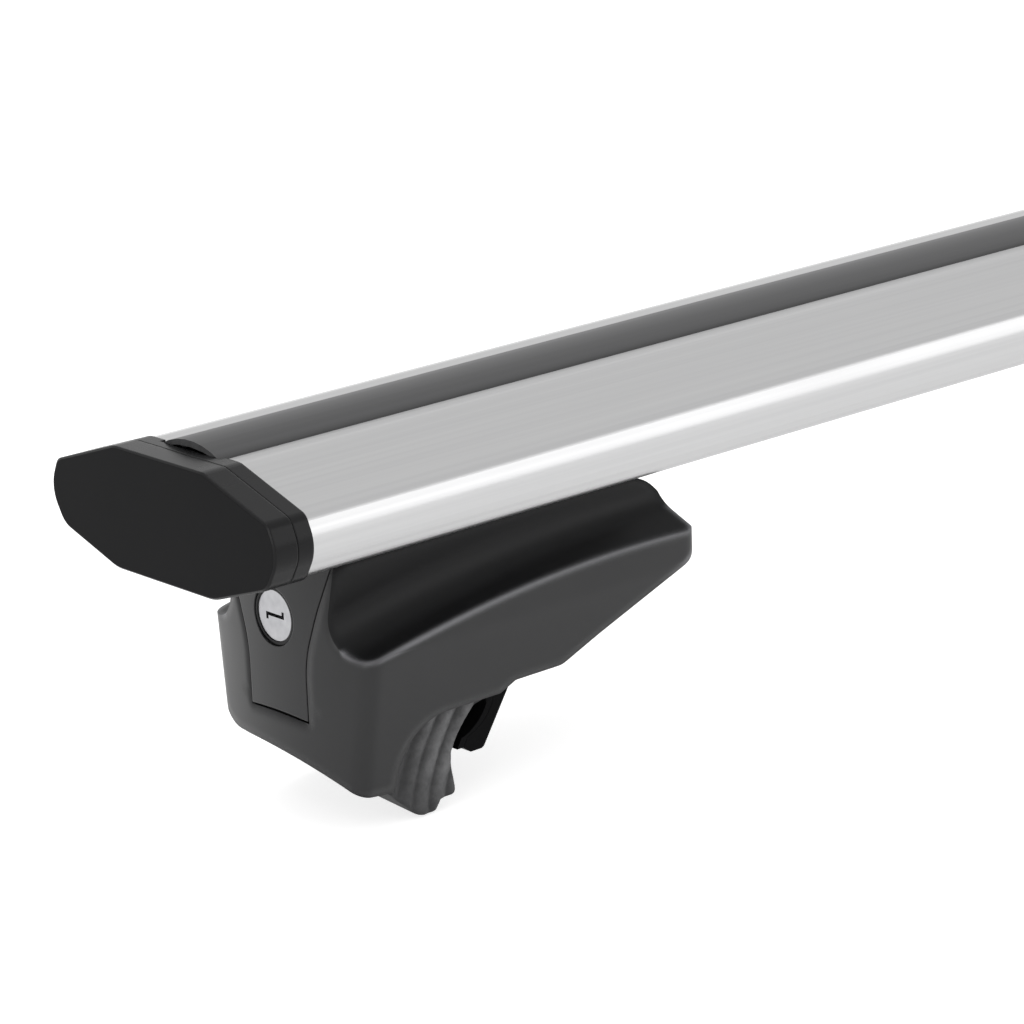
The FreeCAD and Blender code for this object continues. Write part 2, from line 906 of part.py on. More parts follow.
def housing():
    body = new_body("housing")
    corners, arcs = face_plan(0, S.housing_length)
    add(body, outline(body, "XY", corners, arcs), neck_top)
    cut(body, outline(body, "XZ", arch_line()), middle=True)
    cut_chin(body)
    taper = side_taper(half_housing, half_sole, S.taper_top, S.cheek_bottom)
    tapers = outline(body, "YZ", taper)
    outline(body, "YZ", other_side(taper), sketch=tapers)
    cut(body, tapers, middle=True)
    cut_scoops(body)
    crown_start = S.housing_length - S.crown_length
    past_end = S.housing_length + 1
    crown = [
        (crown_start, neck_top),
        (S.housing_length - S.crown_back, neck_top - S.crown_drop),
        (S.housing_length, S.crown_foot),
        (past_end, S.crown_foot),
        (past_end, neck_top + 1),
        (crown_start, neck_top + 1),
    ]
    crown_radius = tangent_radius(S.crown_length - S.crown_back, S.crown_drop)
    cut(body, outline(body, "XZ", crown, {0: -crown_radius}), middle=True)

    def outer_corner(edge):
        middle = edge.CenterOfMass
        beside = abs(middle.x - S.face_bow.value) < 1.5 and abs(middle.y) > half_sole.value - 1
        return beside and edge.Length > 12

    ease_edges(body, S.corner_round, outer_corner)

    channel = [
        (S.channel_start, S.channel_floor),
        (S.seat_end, S.channel_floor),
        *belly_line(S.seat_end, channel_end, S.belly_wall),
        (channel_end, neck_top + 1),
        (S.channel_start, neck_top + 1),
    ]
    cut(body, outline(body, "XZ", channel), S.channel_width, middle=True)
    passage = [
        (S.jaw_slot_start, -passage_half),
        (channel_end, -passage_half),
        (channel_end, passage_half),
        (S.jaw_slot_start, passage_half),
    ]
    cut(body, outline(body, "XY", passage, lift=S.nose_z), S.nose_z)
    recess = new_body("door_recess")
    door_slab(recess, S.door_gap, neck_top + 1)
    hollow = body.newObject("PartDesign::Boolean", "Recess")
    hollow.Type = "Cut"
    hollow.setObjects([recess])
    doc.recompute()
    low_half = S.door_width / 2 - S.opening_step
    opening = [
        (low_half, hinge_z),
        (low_half, lock_height - S.lock_radius),
        (S.opening_width / 2, lock_height - S.cam_width / 4),
        (S.opening_width / 2, neck_top + 1),
    ]
    opening += other_side(opening)[::-1]
    cut(body, outline(body, "YZ", opening), S.channel_start + 1, back=True)
    hinge = [(S.hinge_x, hinge_z, S.knuckle_radius + S.knuckle_gap)]
    cut(body, rounds(body, "XZ", hinge), S.door_width + 2 * S.door_gap, middle=True)
    pin = rounds(body, "XZ", [(S.hinge_x, hinge_z, S.pin_radius)])
    cut(body, pin, S.pin_length, middle=True)
    cut(body, seat_outline(body, S.seat_height), S.seat_pad_sink, back=True)
    hole = [(0, S.cover_screw_height, S.cover_screw_radius + S.bolt_pass)]
    cut(body, rounds(body, "YZ", hole, lift=channel_end - 1), MARGIN, back=True)
    sink = [(0, S.cover_screw_height, S.cover_screw_head + S.bolt_pass)]
    seat = S.housing_length - S.cover_screw_sink
    cut(body, rounds(body, "YZ", sink, lift=seat), MARGIN, back=True)
    return body


def seat_outline(body, lift):
    """Outlines of the two seat pads, beside the jaw passage."""
    start = S.seat_start + S.seat_ramp + S.seat_pad_inset
    end = S.seat_end - 2 * S.seat_pad_inset
    near = passage_half + S.seat_pad_inset
    far = near + S.seat_pad_width
    one = [(x, y, S.seat_pad_round) for x, y in ((start, near), (end, near), (end, far), (start, far))]
    sketch = outline(body, "XY", one, lift=lift)
    return outline(body, "XY", [(x, -y, r) for x, y, r in one], sketch=sketch)


def seat_pads():
    """Two rubber pads sunk into the seat, on which the rail bears."""
    body = new_body("seat_pads")
    low = S.seat_height + S.seat_pad_sink - S.seat_pad_thick
    add(body, seat_outline(body, low), S.seat_pad_thick)
    return body


# Foot: bracket and its fasteners

bracket_half = channel_half - S.bracket_gap
bracket_inner = bracket_half - S.bracket_sheet
web_low = neck_top - S.bracket_sheet
bracket_end = channel_end - S.bracket_end_gap
bolt_places = (S.bolt_first, bracket_end - S.bolt_from_end)
sleeve_bore = S.lock_radius + S.lock_clear
sleeve_radius = sleeve_bore + S.sleeve_wall


def bracket():
    """Folded steel channel with a catch for the lock in front and a tab behind."""
    body = new_body("bracket")
    low = S.channel_floor + S.bracket_lift
    side = [
        (S.bracket_start, low),
        (S.seat_end, low),
        *belly_line(S.seat_end, bracket_end, S.belly_wall + S.bracket_lift),
        (bracket_end, neck_top),
        (S.bracket_start, neck_top),
    ]
    add(body, outline(body, "XZ", side), 2 * bracket_half, middle=True)
    room = [
        (-bracket_inner, -MARGIN),
        (bracket_inner, -MARGIN),
        (bracket_inner, web_low),
        (-bracket_inner, web_low),
    ]
    cut(body, outline(body, "YZ", room), middle=True)
    catch_back = S.tongue_start + S.bracket_sheet
    catch_low = lock_height + sleeve_radius + S.catch_gap
    tongue = [
        (S.tongue_start, catch_low),
        (catch_back, catch_low),
        (catch_back, web_low),
        (S.bracket_start, web_low),
        (S.bracket_start, neck_top),
        (S.tongue_start, neck_top, S.fold_radius),
    ]
    add(body, outline(body, "XZ", tongue), S.tongue_width, middle=True)
    tab = [
        (bracket_end - S.bracket_sheet, S.tab_low),
        (bracket_end, S.tab_low),
        (bracket_end, web_low),
        (bracket_end - S.bracket_sheet, web_low),
    ]
    add(body, outline(body, "XZ", tab), S.tab_width, middle=True)
    holes = [(x, 0, S.bolt_radius + S.bolt_pass) for x in bolt_places]
    cut(body, rounds(body, "XY", holes, lift=neck_top + 1), MARGIN)
    hole = [(0, S.cover_screw_height, S.cover_screw_radius)]
    cut(body, rounds(body, "YZ", hole, lift=bracket_end + 1), 2 * S.bracket_sheet)
    return body


def slot_bolts():
    """Two bolts whose flat heads lie in the lower slot of the bar."""
    body = new_body("slot_bolts")
    head_low = S.foot_height + S.slot_lip + S.foot_gap
    wide, long = S.bolt_head_width / 2, S.bolt_head_length / 2
    heads = new_sketch(body, "XY", head_low)
    for x in bolt_places:
        corners = [(x - long, -wide), (x + long, -wide), (x + long, wide), (x - long, wide)]
        outline(body, "XY", corners, sketch=heads)
    add(body, heads, S.bolt_head_thick)
    shanks = rounds(body, "XY", [(x, 0, S.bolt_radius) for x in bolt_places], lift=S.bolt_low)
    add(body, shanks, head_low - S.bolt_low)
    return body


def slot_washers():
    body = new_body("slot_washers")
    low = web_low - S.slot_washer_thick
    discs = rounds(body, "XY", [(x, 0, S.slot_washer_radius) for x in bolt_places], lift=low)
    rounds(body, "XY", [(x, 0, S.bolt_radius) for x in bolt_places], sketch=discs)
    add(body, discs, S.slot_washer_thick)
    return body


def slot_nuts():
    body = new_body("slot_nuts")
    low = web_low - S.slot_washer_thick - S.slot_nut_thick
    sketch = new_sketch(body, "XY", low)
    for x in bolt_places:
        hexagon(body, "XY", S.slot_nut_across, x, 0, sketch)
        rounds(body, "XY", [(x, 0, S.bolt_radius)], sketch=sketch)
    add(body, sketch, S.slot_nut_thick)
    return body


def housing_screw():
    """Countersunk into the inner end of the housing and screwed to the bracket."""
    body = new_body("housing_screw")
    seat = S.housing_length - S.cover_screw_sink
    head_end = seat + S.cover_screw_head_height
    height = S.cover_screw_height
    half_section = [
        (seat - S.cover_screw_length, 0),
        (head_end, 0),
        (head_end, S.cover_screw_head - S.screw_edge),
        (head_end - S.screw_edge, S.cover_screw_head),
        (seat, S.cover_screw_head),
        (seat, S.cover_screw_radius),
        (seat - S.cover_screw_length, S.cover_screw_radius),
    ]
    turn(body, outline(body, "XZ", half_section, shift=(0, height)))
    cross = new_sketch(body, "YZ", head_end, (0, height))
    outline(body, "YZ", plus_sign(S.cover_cross_arm, S.cover_cross_slot / 2), sketch=cross)
    cut(body, cross, S.cover_cross_depth)
    return body


def plus_sign(arm, half):
    """A cross recess with arms of a given reach and half width."""
    return [
        (arm, -half), (arm, half), (half, half), (half, arm), (-half, arm), (-half, half),
        (-arm, half), (-arm, -half), (-half, -half), (-half, -arm), (half, -arm), (half, -half),
    ]


# Foot: outer jaw

wall_end = S.jaw_wall_start + S.jaw_wall
RIBS = 4


def claw(body):
    """Side view of the steel claw."""
    under = S.arch_top - S.claw_under_arch
    corners = [
        (S.claw_back, S.claw_bottom, S.claw_round),
        (S.claw_toe - S.claw_bevel, S.claw_bottom, S.toe_round),
        (S.claw_toe, S.claw_bottom + S.claw_bevel),
        (S.claw_toe, S.claw_knee),
        (wall_end, S.claw_shoulder),
        (wall_end, under),
        (S.jaw_wall_start, under),
        (S.claw_back, S.claw_back_top),
    ]
    return outline(body, "XZ", corners)


def outer_jaw():
    """Steel claw below the arch, with a wall between the flanges of the bracket."""
    body = new_body("outer_jaw")
    add(body, claw(body), S.claw_width, middle=True)
    low = S.arch_top - S.claw_under_arch - 1
    wall = [
        (S.jaw_wall_start, low),
        (wall_end, low),
        (wall_end, S.jaw_wall_top),
        (S.jaw_wall_start, S.jaw_wall_top),
    ]
    add(body, outline(body, "XZ", wall), 2 * bracket_inner, middle=True)
    hole = [(0, S.screw_height, S.screw_radius + S.screw_pass)]
    cut(body, rounds(body, "YZ", hole, lift=S.jaw_wall_start - 1), 2 * S.jaw_wall, back=True)
    return body


def outer_jaw_pad():
    """Rubber shoe moulded round the claw, hollowed for the rail and ribbed at the sides."""
    body = new_body("outer_jaw_pad")
    gap = S.pad_under_arch
    top = S.arch_top - gap
    shoe = [
        (S.arch_start + gap, S.cheek_bottom - gap),
        (S.pad_sole_start, 0, S.pad_heel_round),
        (S.pad_sole_end, 0, S.toe_round),
        (S.pad_step_x, S.pad_step_z, S.toe_round),
        (S.pad_toe_x, S.pad_toe_z, S.toe_round),
        (S.pad_knee_x, S.pad_knee_z),
        (S.pad_end, top - S.pad_end_drop),
        (S.pad_end, top),
        (S.arch_knee + gap, top, S.arch_radius - gap),
    ]
    hollow = {5: -S.pad_hollow_radius}
    add(body, outline(body, "XZ", shoe, hollow), S.pad_width, middle=True)
    ribs = new_sketch(body, "XZ")
    for number in range(RIBS):
        top_x = S.rib_top_start + number * S.rib_top_pitch
        foot_x = S.rib_foot_start + number * S.rib_foot_pitch
        foot_z = S.rib_foot_height - number * S.rib_foot_step
        rib = [
            (foot_x, foot_z),
            (foot_x + S.rib_width, foot_z),
            (top_x + S.rib_width, top - S.rib_top_drop),
            (top_x, top - S.rib_top_drop),
        ]
        outline(body, "XZ", rib, {1: -S.rib_radius, 3: S.rib_radius}, sketch=ribs)
    add(body, ribs, S.pad_width + 2 * S.rib_depth, middle=True)
    side = S.pad_width / 2 + S.rib_depth
    corner = [
        (side - S.pad_round, 0),
        (side, S.pad_round),
        (side + 1, S.pad_round),
        (side + 1, -1),
        (side - S.pad_round, -1),
    ]
    cut(body, outline(body, "YZ", corner, {0: S.pad_round}), middle=True)
    cut(body, claw(body), S.claw_width, middle=True)
    slit = [
        (S.jaw_wall_start, -bracket_inner),
        (wall_end, -bracket_inner),
        (wall_end, bracket_inner),
        (S.jaw_wall_start, bracket_inner),
    ]
    cut(body, outline(body, "XY", slit, lift=S.arch_top), 2 * S.claw_under_arch)
    return body


# Foot: door and lock

def lock_door():
    body = new_body("lock_door")
    door_slab(body, Size(0), door_top)
    knuckle = rounds(body, "XZ", [(S.hinge_x, hinge_z, S.knuckle_radius)])
    add(body, knuckle, S.door_width, middle=True)
    front = [
        (S.face_bow, half_housing),
        (S.face_bow, -half_housing),
        (-S.face_bow, -half_housing),
        (-S.face_bow, half_housing),
    ]
    cut(body, outline(body, "XY", front, {0: face_radius}), middle=True)
    cut_scoops(body)
    boss = sleeve_radius + S.sleeve_fit
    ring = [(0, lock_height, boss + S.boss_wall)]
    boss_start = S.door_thick - S.boss_root
    add(body, rounds(body, "YZ", ring, lift=boss_start), S.boss_end - boss_start)
    cut(body, rounds(body, "YZ", [(0, lock_height, boss)], lift=-1), 2 * S.boss_end, back=True)
    bore = rounds(body, "XZ", [(S.hinge_x, hinge_z, S.pin_radius + S.pin_clear)])
    cut(body, bore, middle=True)
    return body


def cylinder_along_x(name, start, end, radius, height, bore=None):
    """A round piece along X at a given height, with a bore where one is given."""
    body = new_body(name)
    circles = [(0, height, radius)] + ([(0, height, bore)] if bore else [])
    add(body, rounds(body, "YZ", circles, lift=start), end - start)
    return body


def lock_sleeve():
    return cylinder_along_x(
        "lock_sleeve", S.sleeve_recess, S.sleeve_end, sleeve_radius, lock_height, sleeve_bore
    )


def lock_barrel():
    body = cylinder_along_x("lock_barrel", S.lock_recess, S.lock_end, S.lock_radius, lock_height)
    half = S.keyway_length / 2
    thin = S.keyway_width / 2
    deep = thin + S.keyway_tick
    turn_in = half - S.keyway_width
    keyway = [
        (-half, -thin), (turn_in, -thin), (turn_in, -deep), (half, -deep),
        (half, thin), (-turn_in, thin), (-turn_in, deep), (-half, deep),
    ]
    sketch = outline(body, "YZ", keyway, lift=S.lock_recess - 1, shift=(0, lock_height))
    cut(body, sketch, S.keyway_depth + 1, back=True)
    tapped = rounds(body, "YZ", [(0, lock_height, S.cam_screw_radius)], lift=S.lock_end + 1)
    cut(body, tapped, S.cam_hole_depth + 1)
    return body


def lock_cam():
    """Flat cam, drawn unlocked with its arm to the side."""
    body = new_body("lock_cam")
    half = S.cam_width / 2
    arm = (S.cam_reach * S.cam_reach - half * half).root()
    corners = [(0, -half), (arm, -half), (arm, half), (0, half)]
    just_over = 1.001
    arcs = {1: S.cam_reach, 3: half * just_over}
    sketch = outline(body, "YZ", corners, arcs, lift=S.lock_end, shift=(0, lock_height))
    rounds(body, "YZ", [(0, 0, S.cam_screw_radius + S.cam_pass)], sketch=sketch)
    add(body, sketch, S.cam_thick)
    return body


def cam_screw():
    body = new_body("cam_screw")
    seat = S.lock_end + S.cam_thick
    tip = seat - S.cam_screw_length
    half_section = [
        (tip, 0),
        (seat + S.cam_screw_head_height, 0),
        (seat + S.cam_screw_head_height, S.cam_screw_head),
        (seat, S.cam_screw_head),
        (seat, S.cam_screw_radius),
        (tip, S.cam_screw_radius),
    ]
    turn(body, outline(body, "XZ", half_section, shift=(0, lock_height)))
    cross = new_sketch(body, "YZ", seat + S.cam_screw_head_height, (0, lock_height))
    outline(body, "YZ", plus_sign(S.cam_cross_arm, S.cam_cross_slot / 2), sketch=cross)
    cut(body, cross, S.cam_cross_depth)
    return body


def hinge_pin():
    body = new_body("hinge_pin")
    pin = rounds(body, "XZ", [(S.hinge_x, hinge_z, S.pin_radius)])
    add(body, pin, S.pin_length, middle=True)
    return body


# Foot: clamp screw and inner jaw

head_seat = S.jaw_wall_start - S.washer_thick
neck_end = S.neck_start + S.neck_thick


def clamp_screw():
    """Socket screw that draws the inner jaw outwards."""
    body = new_body("clamp_screw")
    head_start = head_seat - S.screw_head_height
    tip = channel_end - S.screw_tip_gap
    half_section = [
        (head_start, 0),
        (tip, 0),
        (tip, S.screw_radius - S.screw_edge),
        (tip - S.screw_edge, S.screw_radius),
        (head_seat, S.screw_radius),
        (head_seat, S.screw_head_radius),
        (head_start + S.screw_edge, S.screw_head_radius),
        (head_start, S.screw_head_radius - S.screw_edge),
    ]
    turn(body, outline(body, "XZ", half_section, shift=(0, S.screw_height)))
    socket = new_sketch(body, "YZ", head_start, (0, 0))
    hexagon(body, "YZ", S.screw_socket, 0, S.screw_height, socket)
    cut(body, socket, S.screw_socket_depth, back=True)
    return body


def screw_washer():
    return cylinder_along_x(
        "screw_washer",
        head_seat,
        S.jaw_wall_start,
        S.washer_radius,
        S.screw_height,
        S.screw_radius + S.screw_pass,
    )


def hook_face(shift):
    """The rail side of the inner jaw, moved outwards by a shift."""
    return [
        (S.neck_start - shift, S.hook_top),
        (S.neck_start - shift, S.hook_elbow),
        (S.hook_tip_x - shift, S.hook_tip_z),
        (S.hook_toe_x - shift, S.hook_toe_z),
    ]


def inner_jaw():
    """Moving jaw: a neck between the flanges of the bracket and a wide hook below."""
    body = new_body("inner_jaw")
    toe_back = S.hook_toe_x + S.hook_toe_thick
    hook = hook_face(Size(0)) + [
        (toe_back, S.hook_bottom),
        (toe_back + S.hook_back, S.hook_bottom, S.fold_radius),
        (neck_end, S.hook_top),
    ]
    add(body, outline(body, "XZ", hook, {1: -S.hook_radius}), S.hook_width, middle=True)
    neck = [
        (S.neck_start, S.hook_top - 1),
        (neck_end, S.hook_top - 1),
        (neck_end, S.inner_neck_top),
        (S.neck_start, S.inner_neck_top),
    ]
    add(body, outline(body, "XZ", neck), S.inner_neck_width, middle=True)
    hole = [(0, S.screw_height, S.screw_radius + S.screw_pass)]
    cut(body, rounds(body, "YZ", hole, lift=S.neck_start - 1), 2 * S.neck_thick, back=True)
    return body


def inner_jaw_pad():
    """Rubber layer on the rail side of the hook."""
    body = new_body("inner_jaw_pad")
    layer = hook_face(Size(0)) + hook_face(S.inner_pad_thick)[::-1]
    arcs = {1: -S.hook_radius, 5: S.hook_radius}
    add(body, outline(body, "XZ", layer, arcs), S.hook_width, middle=True)
    return body


def jaw_nut():
    body = new_body("jaw_nut")
    sketch = new_sketch(body, "YZ", neck_end, (0, 0))
    hexagon(body, "YZ", S.nut_across, 0, S.screw_height, sketch)
    bore = S.screw_radius + S.screw_clear
    rounds(body, "YZ", [(0, S.screw_height, bore)], sketch=sketch)
    add(body, sketch, S.nut_thick)
    return body


# Building and writing

FOOT_PIECES = (
    housing,
    seat_pads,
    bracket,
    slot_bolts,
    slot_washers,
    slot_nuts,
    housing_screw,
    outer_jaw,
    outer_jaw_pad,
    hinge_pin,
    lock_door,
    lock_sleeve,
    lock_barrel,
    lock_cam,
    cam_screw,
    screw_washer,
    clamp_screw,
    inner_jaw,
    inner_jaw_pad,
    jaw_nut,
)

nodes = [crossbar_extrusion(), slot_strip()]
for side in ("left", "right"):
    nodes += end_cap(side)
    foot = [piece() for piece in FOOT_PIECES]
    for body in foot:
        body.Label = f"{side}_{body.Label}"
    nodes += place(foot, side, S.foot_inset - S.bar_length / 2)

doc.recompute()
faults = [o.Label for o in doc.Objects if {"Invalid", "Error"} & set(o.State)]
faults += [n.Label for n in nodes if n.Shape.isNull() or not n.Shape.isValid()]
if faults:
    raise RuntimeError("these did not build: " + ", ".join(sorted(set(faults))))

os.makedirs("parts", exist_ok=True)
for node in nodes:
    node.Shape.exportStep(f"parts/{node.Label}.step")
    print(node.Label, len(node.Shape.Solids), round(node.Shape.Volume / 1000, 2), "cm3")
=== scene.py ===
import math

import bmesh
import bpy
import numpy as np
from mathutils import Matrix, Vector


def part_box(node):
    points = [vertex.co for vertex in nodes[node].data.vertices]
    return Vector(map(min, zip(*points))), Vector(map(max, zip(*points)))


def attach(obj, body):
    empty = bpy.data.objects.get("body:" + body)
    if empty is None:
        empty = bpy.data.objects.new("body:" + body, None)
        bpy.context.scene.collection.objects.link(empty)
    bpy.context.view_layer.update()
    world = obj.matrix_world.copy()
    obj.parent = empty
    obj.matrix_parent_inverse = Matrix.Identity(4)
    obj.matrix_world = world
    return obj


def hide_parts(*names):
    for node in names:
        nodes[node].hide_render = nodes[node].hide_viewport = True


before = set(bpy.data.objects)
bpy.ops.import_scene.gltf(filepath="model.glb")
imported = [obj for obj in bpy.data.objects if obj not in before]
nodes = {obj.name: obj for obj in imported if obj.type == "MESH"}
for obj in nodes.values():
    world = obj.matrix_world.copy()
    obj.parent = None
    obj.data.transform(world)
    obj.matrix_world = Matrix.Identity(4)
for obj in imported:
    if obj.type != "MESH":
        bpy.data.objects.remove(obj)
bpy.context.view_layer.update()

# Viewpoint
# A long lens looks at the left end of the bar from the front and a little above, so that
# the end cap, the sloping front of the wing and the outer face of the foot all show.
VIEW_AZIMUTH = math.radians(-40.9)
VIEW_ELEVATION = math.radians(16.93)
VIEW_ROLL = math.radians(-2.27)
VIEW_DISTANCE = 0.9
PICTURE_SIDE = 1024
FOCAL_PIXELS = 4150
CAP_CENTRE_PIXEL = (160.42, 527.53)
CAP_CENTRE_HEIGHT = 0.01292
cap_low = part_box("left_cap_cover")[0]
CAP_CENTRE = Vector((cap_low.x, 0.0, cap_low.z + CAP_CENTRE_HEIGHT))

back = Vector((
    math.sin(VIEW_AZIMUTH) * math.cos(VIEW_ELEVATION),
    -math.cos(VIEW_AZIMUTH) * math.cos(VIEW_ELEVATION),
    math.sin(VIEW_ELEVATION),
))
level_right = (-back).cross(Vector((0, 0, 1))).normalized()
level_up = level_right.cross(-back)
right = level_right * math.cos(VIEW_ROLL) + level_up * math.sin(VIEW_ROLL)
up = level_up * math.cos(VIEW_ROLL) - level_right * math.sin(VIEW_ROLL)
across = (CAP_CENTRE_PIXEL[0] - PICTURE_SIDE / 2) / FOCAL_PIXELS
upward = (PICTURE_SIDE / 2 - CAP_CENTRE_PIXEL[1]) / FOCAL_PIXELS
eye = CAP_CENTRE - (right * across + up * upward - back) * VIEW_DISTANCE

camera_data = bpy.data.cameras.new("photo_view")
camera_data.sensor_width = 36
camera_data.lens = camera_data.sensor_width * FOCAL_PIXELS / PICTURE_SIDE
camera_data.clip_start = 0.05
camera_data.clip_end = 20
camera = bpy.data.objects.new("photo_view", camera_data)
turned = Matrix((right, up, back)).transposed().to_4x4()
turned.translation = eye
camera.matrix_world = turned
bpy.context.scene.collection.objects.link(camera)
bpy.context.scene.camera = camera
bpy.context.scene.view_settings.view_transform = "Standard"


# White studio
# The bar stands in an even white room. Camera and mirror rays see plain white, while the
# light that falls on the object from the room is a soft grey.
def to_linear(hex_colour):
    """sRGB hex to linear light: c / 12.92 below 0.04045, else ((c + 0.055) / 1.055) ** 2.4."""
    codes = [int(hex_colour[i:i + 2], 16) / 255 for i in (1, 3, 5)]
    return [c / 12.92 if c <= 0.04045 else ((c + 0.055) / 1.055) ** 2.4 for c in codes] + [1.0]


def add_node(tree, kind, settings=None, inputs=None, links=None):
    """One shader node: settings are its properties, inputs its socket values, links its feeds."""
    made = tree.nodes.new(kind)
    for name, value in (settings or {}).items():
        setattr(made, name, value)
    for name, value in (inputs or {}).items():
        made.inputs[name].default_value = value
    for name, source in (links or {}).items():
        tree.links.new(source, made.inputs[name])
    return made


ROOM_FILL = 0.7
world = bpy.data.worlds.new("white_room")
bpy.context.scene.world = world
world.use_nodes = True
world.node_tree.nodes.clear()
room = world.node_tree
path = add_node(room, "ShaderNodeLightPath")
camera_or_glossy = add_node(
    room, "ShaderNodeMath", {"operation": "MAXIMUM"},
    links={0: path.outputs["Is Camera Ray"], 1: path.outputs["Is Glossy Ray"]},
)
clear_rays = add_node(
    room, "ShaderNodeMath", {"operation": "MAXIMUM"},
    links={0: camera_or_glossy.outputs[0], 1: path.outputs["Is Transmission Ray"]},
)
room_fill = add_node(
    room, "ShaderNodeBackground", inputs={"Color": (1, 1, 1, 1), "Strength": ROOM_FILL}
)
white_wall = add_node(room, "ShaderNodeBackground", inputs={"Color": (1, 1, 1, 1), "Strength": 1})
seen = add_node(
    room, "ShaderNodeMixShader",
    links={0: clear_rays.outputs[0], 1: room_fill.outputs[0], 2: white_wall.outputs[0]},
)
add_node(room, "ShaderNodeOutputWorld", links={"Surface": seen.outputs[0]})


# Floor
# A wide white sheet of paper, a hair below the soles. It glows for the camera, so it stays
# white, and its matt part still takes the soft shadow of the bar.
FLOOR_HALF = 6.0
FLOOR_DROP = 0.0004
floor_mesh = bpy.data.meshes.new("paper_floor")
floor_corners = [
    (x * FLOOR_HALF, y * FLOOR_HALF, -FLOOR_DROP) for x, y in ((-1, -1), (1, -1), (1, 1), (-1, 1))
]
floor_mesh.from_pydata(floor_corners, [], [(0, 1, 2, 3)])
floor = bpy.data.objects.new("paper_floor", floor_mesh)
bpy.context.scene.collection.objects.link(floor)


def new_material(name):
    """An empty node material and its tree."""
    material = bpy.data.materials.new(name)
    material.use_nodes = True
    material.node_tree.nodes.clear()
    return material, material.node_tree


PAPER_GLOW = 0.7


def white_paper():
    """Matt paper, with a glow that only camera and mirror rays see."""
    material, tree = new_material("white_paper")
    path = add_node(tree, "ShaderNodeLightPath")
    seen = add_node(
        tree, "ShaderNodeMath", {"operation": "MAXIMUM"},
        links={0: path.outputs["Is Camera Ray"], 1: path.outputs["Is Glossy Ray"]},
    )
    glow = add_node(
        tree, "ShaderNodeMath", {"operation": "MULTIPLY"}, {1: PAPER_GLOW}, {0: seen.outputs[0]}
    )
    matt = add_node(tree, "ShaderNodeBsdfDiffuse", inputs={"Color": to_linear("#d9d9d9")})
    lit = add_node(
        tree, "ShaderNodeEmission", inputs={"Color": (1, 1, 1, 1)},
        links={"Strength": glow.outputs[0]},
    )
    both = add_node(tree, "ShaderNodeAddShader", links={0: matt.outputs[0], 1: lit.outputs[0]})
    add_node(tree, "ShaderNodeOutputMaterial", links={"Surface": both.outputs[0]})
    return material


floor_mesh.materials.append(white_paper())


# Studio lamps
# Three soft boxes: a wide one overhead, one low on the right that draws the bright line
# along the nose of the wing, and one on the left for the outer face of the foot.
def soft_box(name, spot, aim, width, height, watts):
    """A rectangular lamp at a spot, turned to its aim; its size is in metres."""
    lamp = bpy.data.lights.new(name, "AREA")
    lamp.shape = "RECTANGLE"
    lamp.size = width
    lamp.size_y = height
    lamp.energy = watts
    made = bpy.data.objects.new(name, lamp)
    made.location = spot
    made.rotation_mode = "QUATERNION"
    made.rotation_quaternion = (Vector(aim) - Vector(spot)).to_track_quat("-Z", "Y")
    bpy.context.scene.collection.objects.link(made)
    return made


FOOT_SPOT = Vector((cap_low.x + 0.08, 0.0, 0.05))
soft_box("overhead_box", FOOT_SPOT + Vector((-0.5, 0.2, 1.7)), FOOT_SPOT, 1.2, 1.2, 9)
soft_box("right_box", FOOT_SPOT + Vector((1.25, -1.4, 0.6)), FOOT_SPOT, 1.6, 0.9, 6.2)
soft_box("left_box", FOOT_SPOT + Vector((-1.6, -0.6, 0.6)), FOOT_SPOT, 1.0, 1.0, 8)


# Wing bar
# Extruded 6063 aluminium, satin etched and anodised silver. The die leaves very fine lines
# along the bar, so its sheen is drawn out lengthwise and wanders a little across it.
def satin_anodised_aluminium():
    """Silver anodising over an etched extrusion: a soft metal sheen with lengthwise lines.

    The real lines are about 0.2 mm apart. They are drawn coarser, so that they show.
    """
    DIE_LINE_MM = 0.9
    CLOUD_MM = 60
    LINE_DEPTH_MM = 0.003
    material, tree = new_material("satin_anodised_aluminium")
    place = add_node(tree, "ShaderNodeTexCoord")
    drawn_out = add_node(
        tree, "ShaderNodeMapping", inputs={"Scale": (0.004, 1, 1)},
        links={"Vector": place.outputs["Object"]},
    )
    lines = add_node(
        tree, "ShaderNodeTexNoise", inputs={"Scale": 1000 / DIE_LINE_MM, "Detail": 3},
        links={"Vector": drawn_out.outputs[0]},
    )
    cloud = add_node(
        tree, "ShaderNodeTexNoise", inputs={"Scale": 1000 / CLOUD_MM, "Detail": 2},
        links={"Vector": place.outputs["Object"]},
    )
    silver = add_node(
        tree, "ShaderNodeMix", {"data_type": "RGBA"},
        {6: to_linear("#b0b0b1"), 7: to_linear("#bfbfbf")}, {0: lines.outputs[0]},
    )
    gloss = add_node(
        tree, "ShaderNodeMapRange", inputs={"To Min": 0.25, "To Max": 0.36},
        links={"Value": cloud.outputs[0]},
    )
    relief = add_node(
        tree, "ShaderNodeBump", inputs={"Distance": LINE_DEPTH_MM / 1000},
        links={"Height": lines.outputs[0]},
    )
    surface = add_node(
        tree, "ShaderNodeBsdfPrincipled", inputs={"Metallic": 1.0},
        links={"Base Color": silver.outputs[2], "Roughness": gloss.outputs[0],
               "Normal": relief.outputs[0]},
    )
    add_node(tree, "ShaderNodeOutputMaterial", links={"Surface": surface.outputs[0]})
    return material


def dress(name, material):
    """Give a piece of the frame its finish."""
    mesh = nodes[name].data
    mesh.materials.clear()
    mesh.materials.append(material)
    mesh.polygons.foreach_set("material_index", np.zeros(len(mesh.polygons), dtype=np.int32))


dress("crossbar_extrusion", satin_anodised_aluminium())


